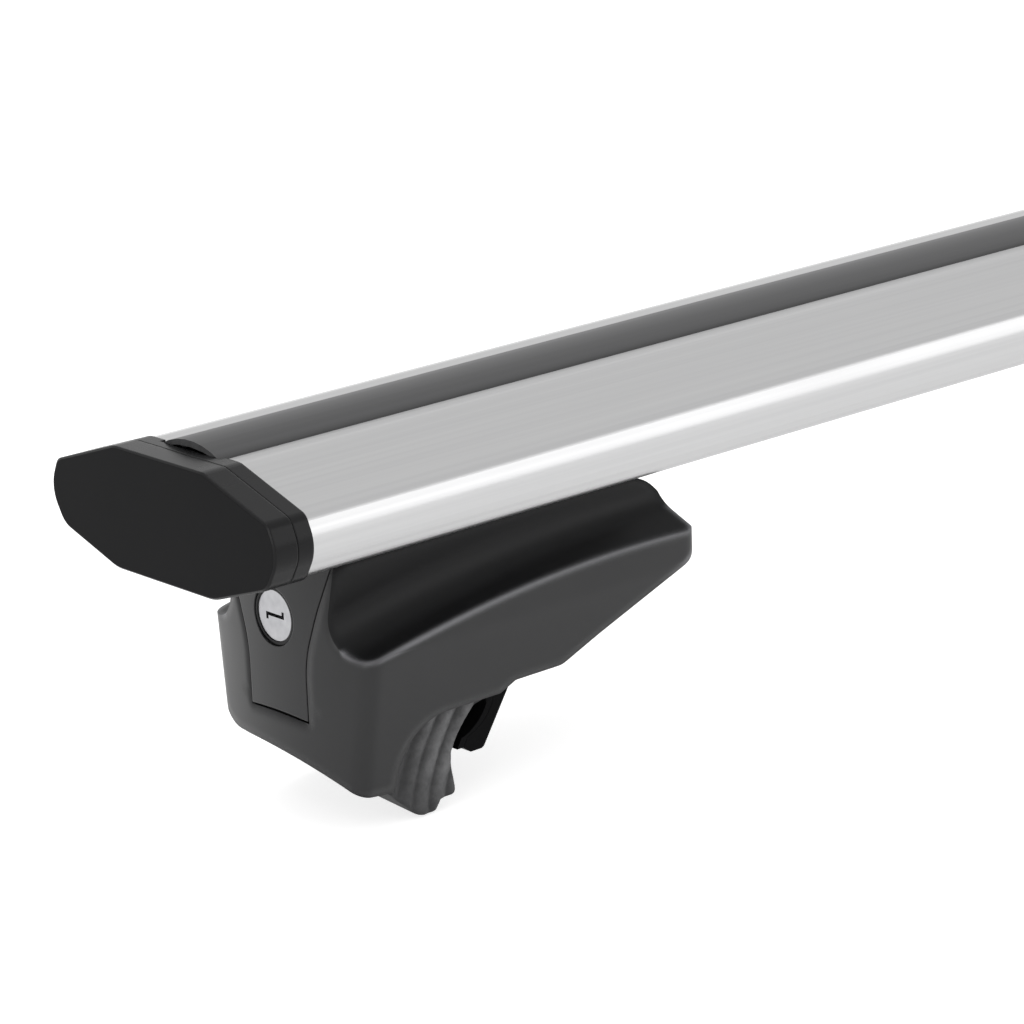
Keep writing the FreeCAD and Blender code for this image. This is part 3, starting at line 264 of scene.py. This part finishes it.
# Slot strip
# Extruded EPDM rubber, matt, laid in the top slot so that it stands a little proud as an
# arch. The extruder leaves streaks along it, and its two edges are painted dark in the seam, as
# painted shade.
def extruded_rubber(seam_height):
    """Grey black rubber with streaks along it, painted dark where it dips into the seam, as
    painted shade.

    The extruder's lines are drawn a little coarser than real ones, so that they show.
    """
    STREAK_MM = 2.6
    LINE_MM = 0.6
    LINE_DEPTH_MM = 0.01
    SEAM_SHADE_MM = 0.75
    material, tree = new_material("extruded_epdm_rubber")
    place = add_node(tree, "ShaderNodeTexCoord")
    drawn_out = add_node(
        tree, "ShaderNodeMapping", inputs={"Scale": (0.004, 1, 1)},
        links={"Vector": place.outputs["Object"]},
    )
    streaks = add_node(
        tree, "ShaderNodeTexNoise", inputs={"Scale": 1000 / STREAK_MM, "Detail": 1},
        links={"Vector": drawn_out.outputs[0]},
    )
    lines = add_node(
        tree, "ShaderNodeTexNoise", inputs={"Scale": 1000 / LINE_MM, "Detail": 3},
        links={"Vector": drawn_out.outputs[0]},
    )
    streaked = add_node(
        tree, "ShaderNodeMix", {"data_type": "RGBA"},
        {6: to_linear("#29292a"), 7: to_linear("#4c4c4d")}, {0: streaks.outputs[0]},
    )
    height = add_node(
        tree, "ShaderNodeSeparateXYZ", links={"Vector": place.outputs["Object"]}
    )
    clear_of_seam_shade = add_node(
        tree, "ShaderNodeMapRange",
        inputs={"From Min": seam_height, "From Max": seam_height + SEAM_SHADE_MM / 1000},
        links={"Value": height.outputs["Z"]},
    )
    # Painted shade: the rubber turns near black as it dips into the seam against the bar.
    rubber = add_node(
        tree, "ShaderNodeMix", {"data_type": "RGBA"}, {6: to_linear("#141415")},
        {0: clear_of_seam_shade.outputs[0], 7: streaked.outputs[2]},
    )
    gloss = add_node(
        tree, "ShaderNodeMapRange", inputs={"To Min": 0.36, "To Max": 0.5},
        links={"Value": streaks.outputs[0]},
    )
    relief = add_node(
        tree, "ShaderNodeBump", inputs={"Distance": LINE_DEPTH_MM / 1000},
        links={"Height": lines.outputs[0]},
    )
    surface = add_node(
        tree, "ShaderNodeBsdfPrincipled", inputs={"Specular IOR Level": 0.33},
        links={"Base Color": rubber.outputs[2], "Roughness": gloss.outputs[0],
               "Normal": relief.outputs[0]},
    )
    add_node(tree, "ShaderNodeOutputMaterial", links={"Surface": surface.outputs[0]})
    return material


bar_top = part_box("crossbar_extrusion")[1].z
dress("slot_strip", extruded_rubber(bar_top))


# End caps and lock sleeves
# Two mouldings in black UV-stable nylon close each end: a ring that plugs into the tube and
# a shallow cover. The bush round each lock is the same. Their moulds are finely grained.
def moulded_black_plastic(
    name, dark, light, shine, low_gloss, high_gloss, grain_mm, edge_mm, painted_rim_highlight=None
):
    """Black moulding: spark-eroded grain, clouds in its gloss and softly rounded edges.

    The real grain is about 0.1 mm. It is drawn coarser, so that it shows. The rims of the
    shoulders may be painted paler, as a painted highlight. They are where the rounded normal
    leans away from the plain one, high on the foot and aside of the door opening.
    """
    CLOUD_MM = 22
    GRAIN_DEPTH_MM = 0.012
    OPENING_HALF_MM = 20
    OPENING_FADE_MM = 1
    RIM_HEIGHT_MM = 40
    RIM_FADE_MM = 4
    LEAN_START = 0.99
    LEAN_FULL = 0.86
    material, tree = new_material(name)
    place = add_node(tree, "ShaderNodeTexCoord")
    grain = add_node(
        tree, "ShaderNodeTexNoise", inputs={"Scale": 1000 / grain_mm, "Detail": 2},
        links={"Vector": place.outputs["Object"]},
    )
    cloud = add_node(
        tree, "ShaderNodeTexNoise", inputs={"Scale": 1000 / CLOUD_MM, "Detail": 3},
        links={"Vector": place.outputs["Object"]},
    )
    black = add_node(
        tree, "ShaderNodeMix", {"data_type": "RGBA"},
        {6: to_linear(dark), 7: to_linear(light)}, {0: cloud.outputs[0]},
    )
    gloss = add_node(
        tree, "ShaderNodeMapRange", inputs={"To Min": low_gloss, "To Max": high_gloss},
        links={"Value": cloud.outputs[0]},
    )
    rounded = add_node(tree, "ShaderNodeBevel", {"samples": 8}, {"Radius": edge_mm / 1000})
    relief = add_node(
        tree, "ShaderNodeBump", inputs={"Distance": GRAIN_DEPTH_MM / 1000},
        links={"Height": grain.outputs[0], "Normal": rounded.outputs[0]},
    )
    # Painted highlight: the rims of the shoulders get a paler colour where the rounded normal
    # leans away.
    if painted_rim_highlight:
        shape = add_node(tree, "ShaderNodeNewGeometry")
        lean = add_node(
            tree, "ShaderNodeVectorMath", {"operation": "DOT_PRODUCT"},
            links={0: rounded.outputs[0], 1: shape.outputs["Normal"]},
        )
        edge = add_node(
            tree, "ShaderNodeMapRange",
            inputs={"From Min": LEAN_START, "From Max": LEAN_FULL},
            links={"Value": lean.outputs["Value"]},
        )
        spot = add_node(
            tree, "ShaderNodeSeparateXYZ", links={"Vector": place.outputs["Object"]}
        )
        aside = add_node(
            tree, "ShaderNodeMath", {"operation": "ABSOLUTE"}, links={0: spot.outputs["Y"]}
        )
        off_opening = add_node(
            tree, "ShaderNodeMapRange",
            inputs={"From Min": OPENING_HALF_MM / 1000,
                    "From Max": (OPENING_HALF_MM + OPENING_FADE_MM) / 1000},
            links={"Value": aside.outputs[0]},
        )
        high_up = add_node(
            tree, "ShaderNodeMapRange",
            inputs={"From Min": RIM_HEIGHT_MM / 1000,
                    "From Max": (RIM_HEIGHT_MM + RIM_FADE_MM) / 1000},
            links={"Value": spot.outputs["Z"]},
        )
        shoulder = add_node(
            tree, "ShaderNodeMath", {"operation": "MULTIPLY"},
            links={0: high_up.outputs[0], 1: off_opening.outputs[0]},
        )
        rim_highlight_mask = add_node(
            tree, "ShaderNodeMath", {"operation": "MULTIPLY"},
            links={0: edge.outputs[0], 1: shoulder.outputs[0]},
        )
        black = add_node(
            tree, "ShaderNodeMix", {"data_type": "RGBA"}, {7: to_linear(painted_rim_highlight)},
            {0: rim_highlight_mask.outputs[0], 6: black.outputs[2]},
        )
    surface = add_node(
        tree, "ShaderNodeBsdfPrincipled", inputs={"Specular IOR Level": shine},
        links={"Base Color": black.outputs[2], "Roughness": gloss.outputs[0],
               "Normal": relief.outputs[0]},
    )
    add_node(tree, "ShaderNodeOutputMaterial", links={"Surface": surface.outputs[0]})
    return material


def face_values(mesh, kind):
    """The normals or centres of a mesh's faces, as rows of x, y and z."""
    values = np.empty(len(mesh.polygons) * 3, dtype=np.float32)
    mesh.polygons.foreach_get(kind, values)
    return values.reshape(-1, 3)


CAP_FACE_TURN = 0.95
cap_plastic = moulded_black_plastic(
    "satin_black_nylon", "#121213", "#1b1b1c", 0.14, 0.22, 0.34, 0.4, 0.5
)
cap_face_plastic = moulded_black_plastic(
    "fine_grain_black_nylon", "#0f0f10", "#171718", 0.04, 0.3, 0.45, 0.3, 0.4
)
for side in ("left", "right"):
    for piece in ("cap_cover", "cap_frame", "lock_sleeve"):
        dress(f"{side}_{piece}", cap_plastic)
    # The flat end face comes from a matt part of the mould. The bands round it are glossier.
    cover = nodes[f"{side}_cap_cover"].data
    cover.materials.append(cap_face_plastic)
    end_faces = np.abs(face_values(cover, "normal")[:, 0]) > CAP_FACE_TURN
    cover.polygons.foreach_set("material_index", end_faces.astype(np.int32))


# Foot housings and doors
# Injection moulded glass filled nylon, black, with a satin spark-eroded skin. The hollow
# shoulders are matt and painted darker, as painted shade under the bar, and their round
# rims are painted paler, as a painted highlight.
# The last colour is a painted highlight on the rims of the shoulders.
housing_plastic = moulded_black_plastic(
    "satin_black_glass_nylon", "#1f1f20", "#29292a", 0.3, 0.24, 0.38, 0.45, 3.4, "#868689"
)
# The hollow's darker colours are painted shade under the bar. Its last colour is the same painted
# rim highlight.
hollow_painted_shade_plastic = moulded_black_plastic(
    "matt_black_nylon_painted_shade", "#111112", "#1a1a1b", 0.16, 0.34, 0.48, 0.45, 3.4, "#868689"
)
door_plastic = moulded_black_plastic(
    "satin_black_door_nylon", "#1f1f20", "#29292a", 0.3, 0.26, 0.4, 0.45, 0.4
)
HOLLOW_FOOT = 0.040
HOLLOW_INSET = 0.0015
HOLLOW_TURN = 0.3
for side, inwards in (("left", 1), ("right", -1)):
    dress(f"{side}_housing", housing_plastic)
    dress(f"{side}_lock_door", door_plastic)
    # The hollows are the faces above their foot that lie inset from the sides of the
    # moulding, in metres, or look up, apart from those that look outwards.
    housing = nodes[f"{side}_housing"].data
    # The hollows take the darker plastic, whose darker colour is painted shade.
    housing.materials.append(hollow_painted_shade_plastic)
    hollow_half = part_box(f"{side}_housing")[1].y - HOLLOW_INSET
    normals, centres = face_values(housing, "normal"), face_values(housing, "center")
    within = (np.abs(centres[:, 1]) < hollow_half) | (normals[:, 2] > HOLLOW_TURN)
    outer = inwards * normals[:, 0] < -HOLLOW_TURN
    hollow = (centres[:, 2] > HOLLOW_FOOT) & within & ~outer
    housing.polygons.foreach_set("material_index", hollow.astype(np.int32))


# Rail pads
# Moulded rubber, matt and dusty, gripping the rail. The shoe on the fixed claw is fluted at
# its sides; the seat pads and the moving jaw's pad are plain.
def moulded_rubber(name, dark, light, shine, wear_and_light_layer=None):
    """Matt rubber with a coarse skin, grey with dust, greyer by its layer of wear and painted
    light.

    The skin's real grain is about 0.2 mm. It is drawn coarser, so that it shows.
    """
    DUST_MM = 3.5
    GRAIN_MM = 0.7
    GRAIN_DEPTH_MM = 0.07
    material, tree = new_material(name)
    place = add_node(tree, "ShaderNodeTexCoord")
    dust = add_node(
        tree, "ShaderNodeTexNoise",
        inputs={"Scale": 1000 / DUST_MM, "Detail": 4, "Roughness": 0.6},
        links={"Vector": place.outputs["Object"]},
    )
    grain = add_node(
        tree, "ShaderNodeTexNoise", inputs={"Scale": 1000 / GRAIN_MM, "Detail": 3},
        links={"Vector": place.outputs["Object"]},
    )
    dust_and_light = dust
    if wear_and_light_layer:
        wear_and_light = add_node(tree, "ShaderNodeAttribute", {"attribute_name": wear_and_light_layer})
        dust_and_light = add_node(
            tree, "ShaderNodeMath", {"operation": "MULTIPLY"},
            links={0: dust.outputs[0], 1: wear_and_light.outputs["Fac"]},
        )
    rubber = add_node(
        tree, "ShaderNodeMix", {"data_type": "RGBA"},
        {6: to_linear(dark), 7: to_linear(light)}, {0: dust_and_light.outputs[0]},
    )
    gloss = add_node(
        tree, "ShaderNodeMapRange", inputs={"To Min": 0.55, "To Max": 0.8},
        links={"Value": dust.outputs[0]},
    )
    relief = add_node(
        tree, "ShaderNodeBump", inputs={"Distance": GRAIN_DEPTH_MM / 1000},
        links={"Height": grain.outputs[0]},
    )
    surface = add_node(
        tree, "ShaderNodeBsdfPrincipled", inputs={"Specular IOR Level": shine},
        links={"Base Color": rubber.outputs[2], "Roughness": gloss.outputs[0],
               "Normal": relief.outputs[0]},
    )
    add_node(tree, "ShaderNodeOutputMaterial", links={"Surface": surface.outputs[0]})
    return material


plain_rubber = moulded_rubber("moulded_rail_rubber", "#040405", "#171718", 0.05)
for side in ("left", "right"):
    for piece in ("seat_pads", "inner_jaw_pad"):
        dress(f"{side}_{piece}", plain_rubber)

# Side view of the shoe, from its back edge round by the sole, the toe and the rail hollow:
# x from the outer face of the foot, z from the ground, and the radius of each corner, in mm.
SHOE_CORNERS = (
    (13.1, 7.8, 0.0), (21.5, 0.0, 6.0), (26.2, 0.0, 1.2), (27.7, 2.4, 1.0),
    (32.4, 2.7, 1.2), (31.7, 12.6, 0.0), (43.2, 24.1, 0.0), (43.2, 24.6, 0.0),
    (16.8, 24.6, 13.7),
)
SHOE_HOLLOW_EDGE = 5
SHOE_HOLLOW_RADIUS = 18.0
SHOE_HEART = (25.0, 16.0)
SHOE_TOP = 24.6
SHOE_HALF_WIDTH = 22.3
SHOE_SOLE_RISE = 3.4
SHOE_SIDE_ROUND = 1.3
FLUTE_DEPTH = 0.5
FLUTE_FOOT = (17.6, 1.5)
FLUTE_PITCH = 4.8
FLUTE_LEAN = 9.5
FLUTE_SPREAD = 1.15
FLUTE_CREST = 0.6
FLUTE_CURVE = 1.7
SKIN_WAVE = 0.12
SKIN_WAVES = ((1.9, 0.8), (-0.5, 1.3))
# How pale the rubber is, as wear and painted light: a little all over, more on the fluted
# sides, and most on their ridges, as wear and a painted highlight that grows inwards from
# RIDGE_LIGHT_X and upwards from RIDGE_LIGHT_Z over RIDGE_LIGHT_RUN, in mm. The grooves and
# the low outer ends of the ridges stay darker, as painted shade.
WORN_ALL, WORN_SIDE, RIDGE_WEAR_AND_HIGHLIGHT, RIDGE_LIGHT_LEAST = 0.25, 0.15, 1.2, 0.3
RIDGE_LIGHT_X, RIDGE_LIGHT_Z, RIDGE_LIGHT_RUN = 17, -2, 12


def arc_points(start, end, middle, radius, count):
    """Points on the shorter arc about a middle: middle + radius x (cos angle, sin angle)."""
    first, last = start - middle, end - middle
    turn = np.arctan2(first[0] * last[1] - first[1] * last[0], first @ last)
    angles = np.arctan2(first[1], first[0]) + np.linspace(0, turn, count)
    return middle + radius * np.stack((np.cos(angles), np.sin(angles)), axis=1)


def shoe_outline(count):
    """Evenly spaced points round the side view of the shoe.

    Each corner becomes an arc that touches both of its edges: it starts radius / tan(half
    the corner's angle) before the corner and ends as far behind it. The rail hollow is one
    arc, whose middle stands off its chord by the root of radius² - (chord / 2)².
    """
    CORNER_POINTS, HOLLOW_POINTS = 12, 24
    corners = np.array(SHOE_CORNERS)
    runs = []
    for number, (x, z, radius) in enumerate(SHOE_CORNERS):
        here = np.array((x, z))
        before = corners[number - 1][:2] - here
        after = corners[(number + 1) % len(corners)][:2] - here
        before /= np.hypot(*before)
        after /= np.hypot(*after)
        if radius:
            half_angle = np.arccos(before @ after) / 2
            reach = radius / np.tan(half_angle)
            bisector = (before + after) / np.hypot(*(before + after))
            middle = here + bisector * radius / np.sin(half_angle)
            start, end = here + before * reach, here + after * reach
            runs.append(arc_points(start, end, middle, radius, CORNER_POINTS))
        else:
            runs.append(here[None])
        if number == SHOE_HOLLOW_EDGE:
            end = corners[number + 1][:2]
            chord = np.hypot(*(end - here))
            off_chord = np.sqrt(SHOE_HOLLOW_RADIUS ** 2 - (chord / 2) ** 2)
            aside = np.array((end[1] - here[1], here[0] - end[0])) / chord
            middle = (here + end) / 2 + aside * off_chord
            hollow = arc_points(here, end, middle, SHOE_HOLLOW_RADIUS, HOLLOW_POINTS)
            runs.append(hollow[1:-1])
    points = np.concatenate(runs)
    closed = np.vstack((points, points[:1]))
    along = np.concatenate(([0], np.cumsum(np.hypot(*np.diff(closed, axis=0).T))))
    even = np.linspace(0, along[-1], count, endpoint=False)
    return np.stack([np.interp(even, along, closed[:, axis]) for axis in (0, 1)], axis=1)


def flutes(x, z):
    """Relief of the flutes, from 1 on a ridge to 0 in a groove.

    The place across the flutes is x less the flute's own line, which leans inwards with
    height as lean x (share of height) ^ curve, over a pitch that widens upwards. The ridges
    are (half a cosine + a half) ^ crest, which narrows the grooves.
    """
    up = np.clip((z - FLUTE_FOOT[1]) / (SHOE_TOP - FLUTE_FOOT[1]), 0, 1)
    line = FLUTE_FOOT[0] + FLUTE_LEAN * up ** FLUTE_CURVE
    place = (x - line) / (FLUTE_PITCH * (1 + (FLUTE_SPREAD - 1) * up))
    wave = 0.5 + 0.5 * np.cos(2 * np.pi * place)
    return wave ** FLUTE_CREST


def grid_object(name, points):
    """A closed smooth object from rings of points.

    Each ring joins the next by a band of four-sided faces. The first and the last ring are
    poles, kept as one point each, from which a fan of triangles runs to their neighbour.
    """
    rings, around = points.shape[:2]
    inner = points[1:-1].reshape(-1, 3)
    everything = np.vstack((points[0, :1], inner, points[-1, :1]))
    here = np.arange(around)
    ahead = (here + 1) % around
    first = 1 + (np.arange(rings - 3) * around)[:, None]
    bands = np.stack((first + here, first + ahead, first + around + ahead,
                      first + around + here), axis=2).reshape(-1, 4)
    last_ring = 1 + (rings - 3) * around
    end = len(everything) - 1
    near_fan = np.stack((np.zeros_like(here), 1 + ahead, 1 + here), axis=1)
    far_fan = np.stack((np.full_like(here, end), last_ring + here, last_ring + ahead), axis=1)
    mesh = bpy.data.meshes.new(name)
    mesh.from_pydata(everything.tolist(), [],
                     bands.tolist() + near_fan.tolist() + far_fan.tolist())
    mesh.shade_smooth()
    solid = bmesh.new()
    solid.from_mesh(mesh)
    bmesh.ops.recalc_face_normals(solid, faces=solid.faces)
    solid.to_mesh(mesh)
    solid.free()
    made = bpy.data.objects.new(name, mesh)
    bpy.context.scene.collection.objects.link(made)
    return made


def placed(start_x, inwards, x, y, z):
    """Points in metres from mm inwards of start_x, aside and up; a right foot is turned round."""
    return np.stack((start_x + inwards * x / 1000, inwards * y / 1000, z / 1000), axis=2)


def fluted_shoe(side, face_x, inwards):
    """The shoe as one closed surface of rings.

    Rings run from a pole in the middle of the outer side, out over the fluted side, round
    its edge, across the width, and back to a pole on the other side. A ring is the side
    view drawn towards its heart by a scale, at a place y. The sides sink by twice the flute
    depth x (1 - relief) and by a skin of two crossing sine waves. The sole rises towards
    the far side by rise x (share of the width) x (1 - height / top).
    """
    AROUND, ACROSS, CORNER, FACE = 220, 18, 8, 26
    outline = shoe_outline(AROUND)
    spokes = outline - np.array(SHOE_HEART)
    reach = np.hypot(*spokes.T)
    quarter = np.linspace(0, np.pi / 2, CORNER)
    face_scale = np.linspace(0.0, 1.0, FACE, endpoint=False)[:, None] * np.ones(AROUND)
    edge_inset = SHOE_SIDE_ROUND * (1 - np.sin(quarter))
    edge_scale = 1 - edge_inset[:, None] / reach
    face_scale = face_scale * edge_scale[0]
    half = SHOE_HALF_WIDTH + FLUTE_DEPTH
    edge_y = -half + SHOE_SIDE_ROUND * (1 - np.cos(quarter))
    face_y = np.full(FACE, -half)
    width_y = np.linspace(edge_y[-1], -edge_y[-1], ACROSS + 2)[1:-1]
    scale = np.concatenate((face_scale, edge_scale, np.ones((ACROSS, AROUND)),
                            edge_scale[::-1], face_scale[::-1]))
    y = np.concatenate((face_y, edge_y, width_y, -edge_y[::-1], -face_y))[:, None]
    x = SHOE_HEART[0] + spokes[:, 0] * scale
    z = SHOE_HEART[1] + spokes[:, 1] * scale
    y = y * np.ones_like(x)
    fluted = flutes(x, z)
    aside = np.clip((np.abs(y) - half + SHOE_SIDE_ROUND) / SHOE_SIDE_ROUND, 0, 1)
    skin = SKIN_WAVE * np.ones_like(x)
    for along_x, along_z in SKIN_WAVES:
        skin *= np.sin(along_x * x + along_z * z)
    y -= np.sign(y) * aside * (2 * FLUTE_DEPTH * (1 - fluted) + np.abs(skin))
    z += SHOE_SOLE_RISE * (y + half) / (2 * half) * (1 - z / SHOE_TOP)
    # Painted light: the ridges are painted paler as a highlight, and the grooves and the low
    # outer ridges stay darker as shade, over wear all over.
    inner = np.clip((x - RIDGE_LIGHT_X) / RIDGE_LIGHT_RUN, 0, 1)
    upper = np.clip((z - RIDGE_LIGHT_Z) / RIDGE_LIGHT_RUN, RIDGE_LIGHT_LEAST, 1)
    wear_and_light = WORN_ALL + aside * (WORN_SIDE + RIDGE_WEAR_AND_HIGHLIGHT * fluted * inner * upper)

    shoe = grid_object(f"{side}_fluted_shoe", placed(face_x, inwards, x, y, z))
    shade = shoe.data.attributes.new("wear_and_light", "FLOAT", "POINT")
    kept = np.concatenate((wear_and_light[:1, 0], wear_and_light[1:-1].ravel(), wear_and_light[-1:, 0]))
    shade.data.foreach_set("value", kept.astype(np.float32))
    return shoe


shoe_rubber = moulded_rubber("moulded_shoe_rubber", "#202021", "#7a7a7b", 0.28, "wear_and_light")
for side, corner, inwards in (("left", 0, 1), ("right", 1, -1)):
    face_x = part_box(f"{side}_housing")[corner].x
    shoe = fluted_shoe(side, face_x, inwards)
    shoe.data.materials.append(shoe_rubber)
    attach(shoe, f"{side}_foot")
    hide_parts(f"{side}_outer_jaw_pad")


# Steel inside the foot
# The folded bracket, the bolts, nuts and washers are bright zinc plated; the jaws are dipped
# in black paint and the housing screw is blackened.
def zinc_plated_steel():
    """Bright zinc over rolled steel: grey metal with a faint blue and straw cloud.

    Its grain is drawn coarser than the real one, so that it shows.
    """
    CLOUD_MM = 9
    GRAIN_MM = 0.3
    GRAIN_DEPTH_MM = 0.006
    material, tree = new_material("bright_zinc_plated_steel")
    place = add_node(tree, "ShaderNodeTexCoord")
    cloud = add_node(
        tree, "ShaderNodeTexNoise", inputs={"Scale": 1000 / CLOUD_MM, "Detail": 4},
        links={"Vector": place.outputs["Object"]},
    )
    grain = add_node(
        tree, "ShaderNodeTexNoise", inputs={"Scale": 1000 / GRAIN_MM, "Detail": 2},
        links={"Vector": place.outputs["Object"]},
    )
    zinc = add_node(
        tree, "ShaderNodeMix", {"data_type": "RGBA"},
        {6: to_linear("#a9adb3"), 7: to_linear("#cbc7ba")}, {0: cloud.outputs[0]},
    )
    gloss = add_node(
        tree, "ShaderNodeMapRange", inputs={"To Min": 0.22, "To Max": 0.44},
        links={"Value": cloud.outputs[0]},
    )
    relief = add_node(
        tree, "ShaderNodeBump", inputs={"Distance": GRAIN_DEPTH_MM / 1000},
        links={"Height": grain.outputs[0]},
    )
    surface = add_node(
        tree, "ShaderNodeBsdfPrincipled", inputs={"Metallic": 1.0},
        links={"Base Color": zinc.outputs[2], "Roughness": gloss.outputs[0],
               "Normal": relief.outputs[0]},
    )
    add_node(tree, "ShaderNodeOutputMaterial", links={"Surface": surface.outputs[0]})
    return material


# Dip paint has a moulding's clouds and soft edges, over a coarse orange peel.
dip_paint = moulded_black_plastic(
    "black_dip_painted_steel", "#050506", "#0b0b0c", 0.04, 0.35, 0.5, 2.5, 0.6
)
zinc = zinc_plated_steel()
for side in ("left", "right"):
    for piece in (
        "bracket", "slot_bolts", "slot_washers", "slot_nuts", "hinge_pin", "screw_washer",
        "lock_cam", "cam_screw", "jaw_nut",
    ):
        dress(f"{side}_{piece}", zinc)
    for piece in ("outer_jaw", "inner_jaw"):
        dress(f"{side}_{piece}", dip_paint)
    dress(f"{side}_housing_screw", dip_paint)


# Clamp screws
# An M8 socket screw draws the moving jaw: cold headed with a knurled rim and a hexagon
# socket, its thread rolled on the shank, zinc plated.
# All its sizes are in mm. The thread's crest and flank are shares of half a pitch.
SCREW_RADIUS = 4.0
SCREW_PITCH = 1.25
THREAD_DEPTH = 0.75
HEAD_RADIUS = 6.5
HEAD_HEIGHT = 8.0
SOCKET_ACROSS = 6.0
SOCKET_DEPTH = 4.5
HEAD_EDGE = 0.8
UNDER_EDGE = 0.6
KNURL_DEPTH = 0.25
KNURL_RAMP = 0.3
SOCKET_MOUTH = 0.35
PLAIN_SHANK = 5.0
CREST_SHARE = 0.15
FLANK_SHARE = 0.75
TIP_TAPER = 1.2
TIP_DROP = 0.85
SHARP_ANGLE = math.radians(35)


def socket_screw(side, start_x, length, height, inwards):
    """A turned surface whose radius changes with the place along it and the angle round it.

    The socket is a hexagon, half its width over cos(angle to the middle of the flat). The
    rim is knurled by the size of a sine. The thread is a clipped triangle wave of place /
    pitch - angle / turn, and fades in over one pitch and out at the tip.
    """
    AROUND, KNURLS, STEPS_A_TURN = 72, 24, 6
    angle = np.linspace(0, 2 * np.pi, AROUND, endpoint=False)
    flat = np.mod(angle + np.pi / 6, np.pi / 3) - np.pi / 6
    socket = SOCKET_ACROSS / 2 / np.cos(flat)
    ones = np.ones(AROUND)
    knurl = HEAD_RADIUS - KNURL_DEPTH * np.abs(np.sin(angle * KNURLS / 2))
    neck = HEAD_HEIGHT + PLAIN_SHANK
    rings = [
        (SOCKET_DEPTH, 0 * ones), (SOCKET_DEPTH, socket),
        (SOCKET_MOUTH, socket), (0, socket + SOCKET_MOUTH),
        (0, (HEAD_RADIUS - HEAD_EDGE) * ones), (HEAD_EDGE, HEAD_RADIUS * ones),
        (HEAD_EDGE + KNURL_RAMP, knurl), (HEAD_HEIGHT - UNDER_EDGE - KNURL_RAMP, knurl),
        (HEAD_HEIGHT - UNDER_EDGE, HEAD_RADIUS * ones),
        (HEAD_HEIGHT, (HEAD_RADIUS - UNDER_EDGE / 2) * ones),
        (HEAD_HEIGHT, SCREW_RADIUS * ones), (neck, SCREW_RADIUS * ones),
    ]
    turns = (length - neck) / SCREW_PITCH
    place = np.linspace(0, length - neck, int(turns * STEPS_A_TURN))[1:, None]
    wave = np.abs(2 * np.mod(place / SCREW_PITCH - angle / (2 * np.pi), 1) - 1)
    groove = THREAD_DEPTH * np.clip((wave - CREST_SHARE) / FLANK_SHARE, 0, 1)
    fade = np.clip(place / SCREW_PITCH, 0, 1)
    taper = np.clip((place - (length - neck - TIP_TAPER)) / TIP_TAPER, 0, 1)
    thread = SCREW_RADIUS - groove * fade * (1 - taper) - TIP_DROP * taper
    x = np.concatenate(([ring[0] for ring in rings], neck + place[:, 0], [length]))
    radius = np.vstack([ring[1] for ring in rings] + [thread, 0 * ones])
    x = np.broadcast_to(x[:, None], radius.shape)
    points = placed(
        start_x, inwards, x, radius * np.cos(angle), height * 1000 + radius * np.sin(angle)
    )
    return grid_object(f"{side}_threaded_clamp_screw", points)


for side, inwards in (("left", 1), ("right", -1)):
    low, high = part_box(f"{side}_clamp_screw")
    start_x = low.x if inwards > 0 else high.x
    screw = socket_screw(side, start_x, (high.x - low.x) * 1000, (low.z + high.z) / 2, inwards)
    screw.data.materials.append(zinc)
    screw.data.set_sharp_from_angle(angle=SHARP_ANGLE)
    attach(screw, f"{side}_screw")
    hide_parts(f"{side}_clamp_screw")


# Locks
# The barrel is cast zinc, turned and plated with satin nickel, so its face is the one
# bright spot of the foot. Handling leaves it a little cloudy.
def satin_nickel():
    """Satin nickel plate with a faint cloud in its tone and gloss."""
    CLOUD_MM = 2.5
    material, tree = new_material("satin_nickel_plated_zinc")
    place = add_node(tree, "ShaderNodeTexCoord")
    cloud = add_node(
        tree, "ShaderNodeTexNoise", inputs={"Scale": 1000 / CLOUD_MM, "Detail": 3},
        links={"Vector": place.outputs["Object"]},
    )
    nickel = add_node(
        tree, "ShaderNodeMix", {"data_type": "RGBA"},
        {6: to_linear("#919194"), 7: to_linear("#bcbcbe")}, {0: cloud.outputs[0]},
    )
    gloss = add_node(
        tree, "ShaderNodeMapRange", inputs={"To Min": 0.28, "To Max": 0.46},
        links={"Value": cloud.outputs[0]},
    )
    surface = add_node(
        tree, "ShaderNodeBsdfPrincipled", inputs={"Metallic": 1.0},
        links={"Base Color": nickel.outputs[2], "Roughness": gloss.outputs[0]},
    )
    add_node(tree, "ShaderNodeOutputMaterial", links={"Surface": surface.outputs[0]})
    return material


nickel = satin_nickel()
for side in ("left", "right"):
    dress(f"{side}_lock_barrel", nickel)
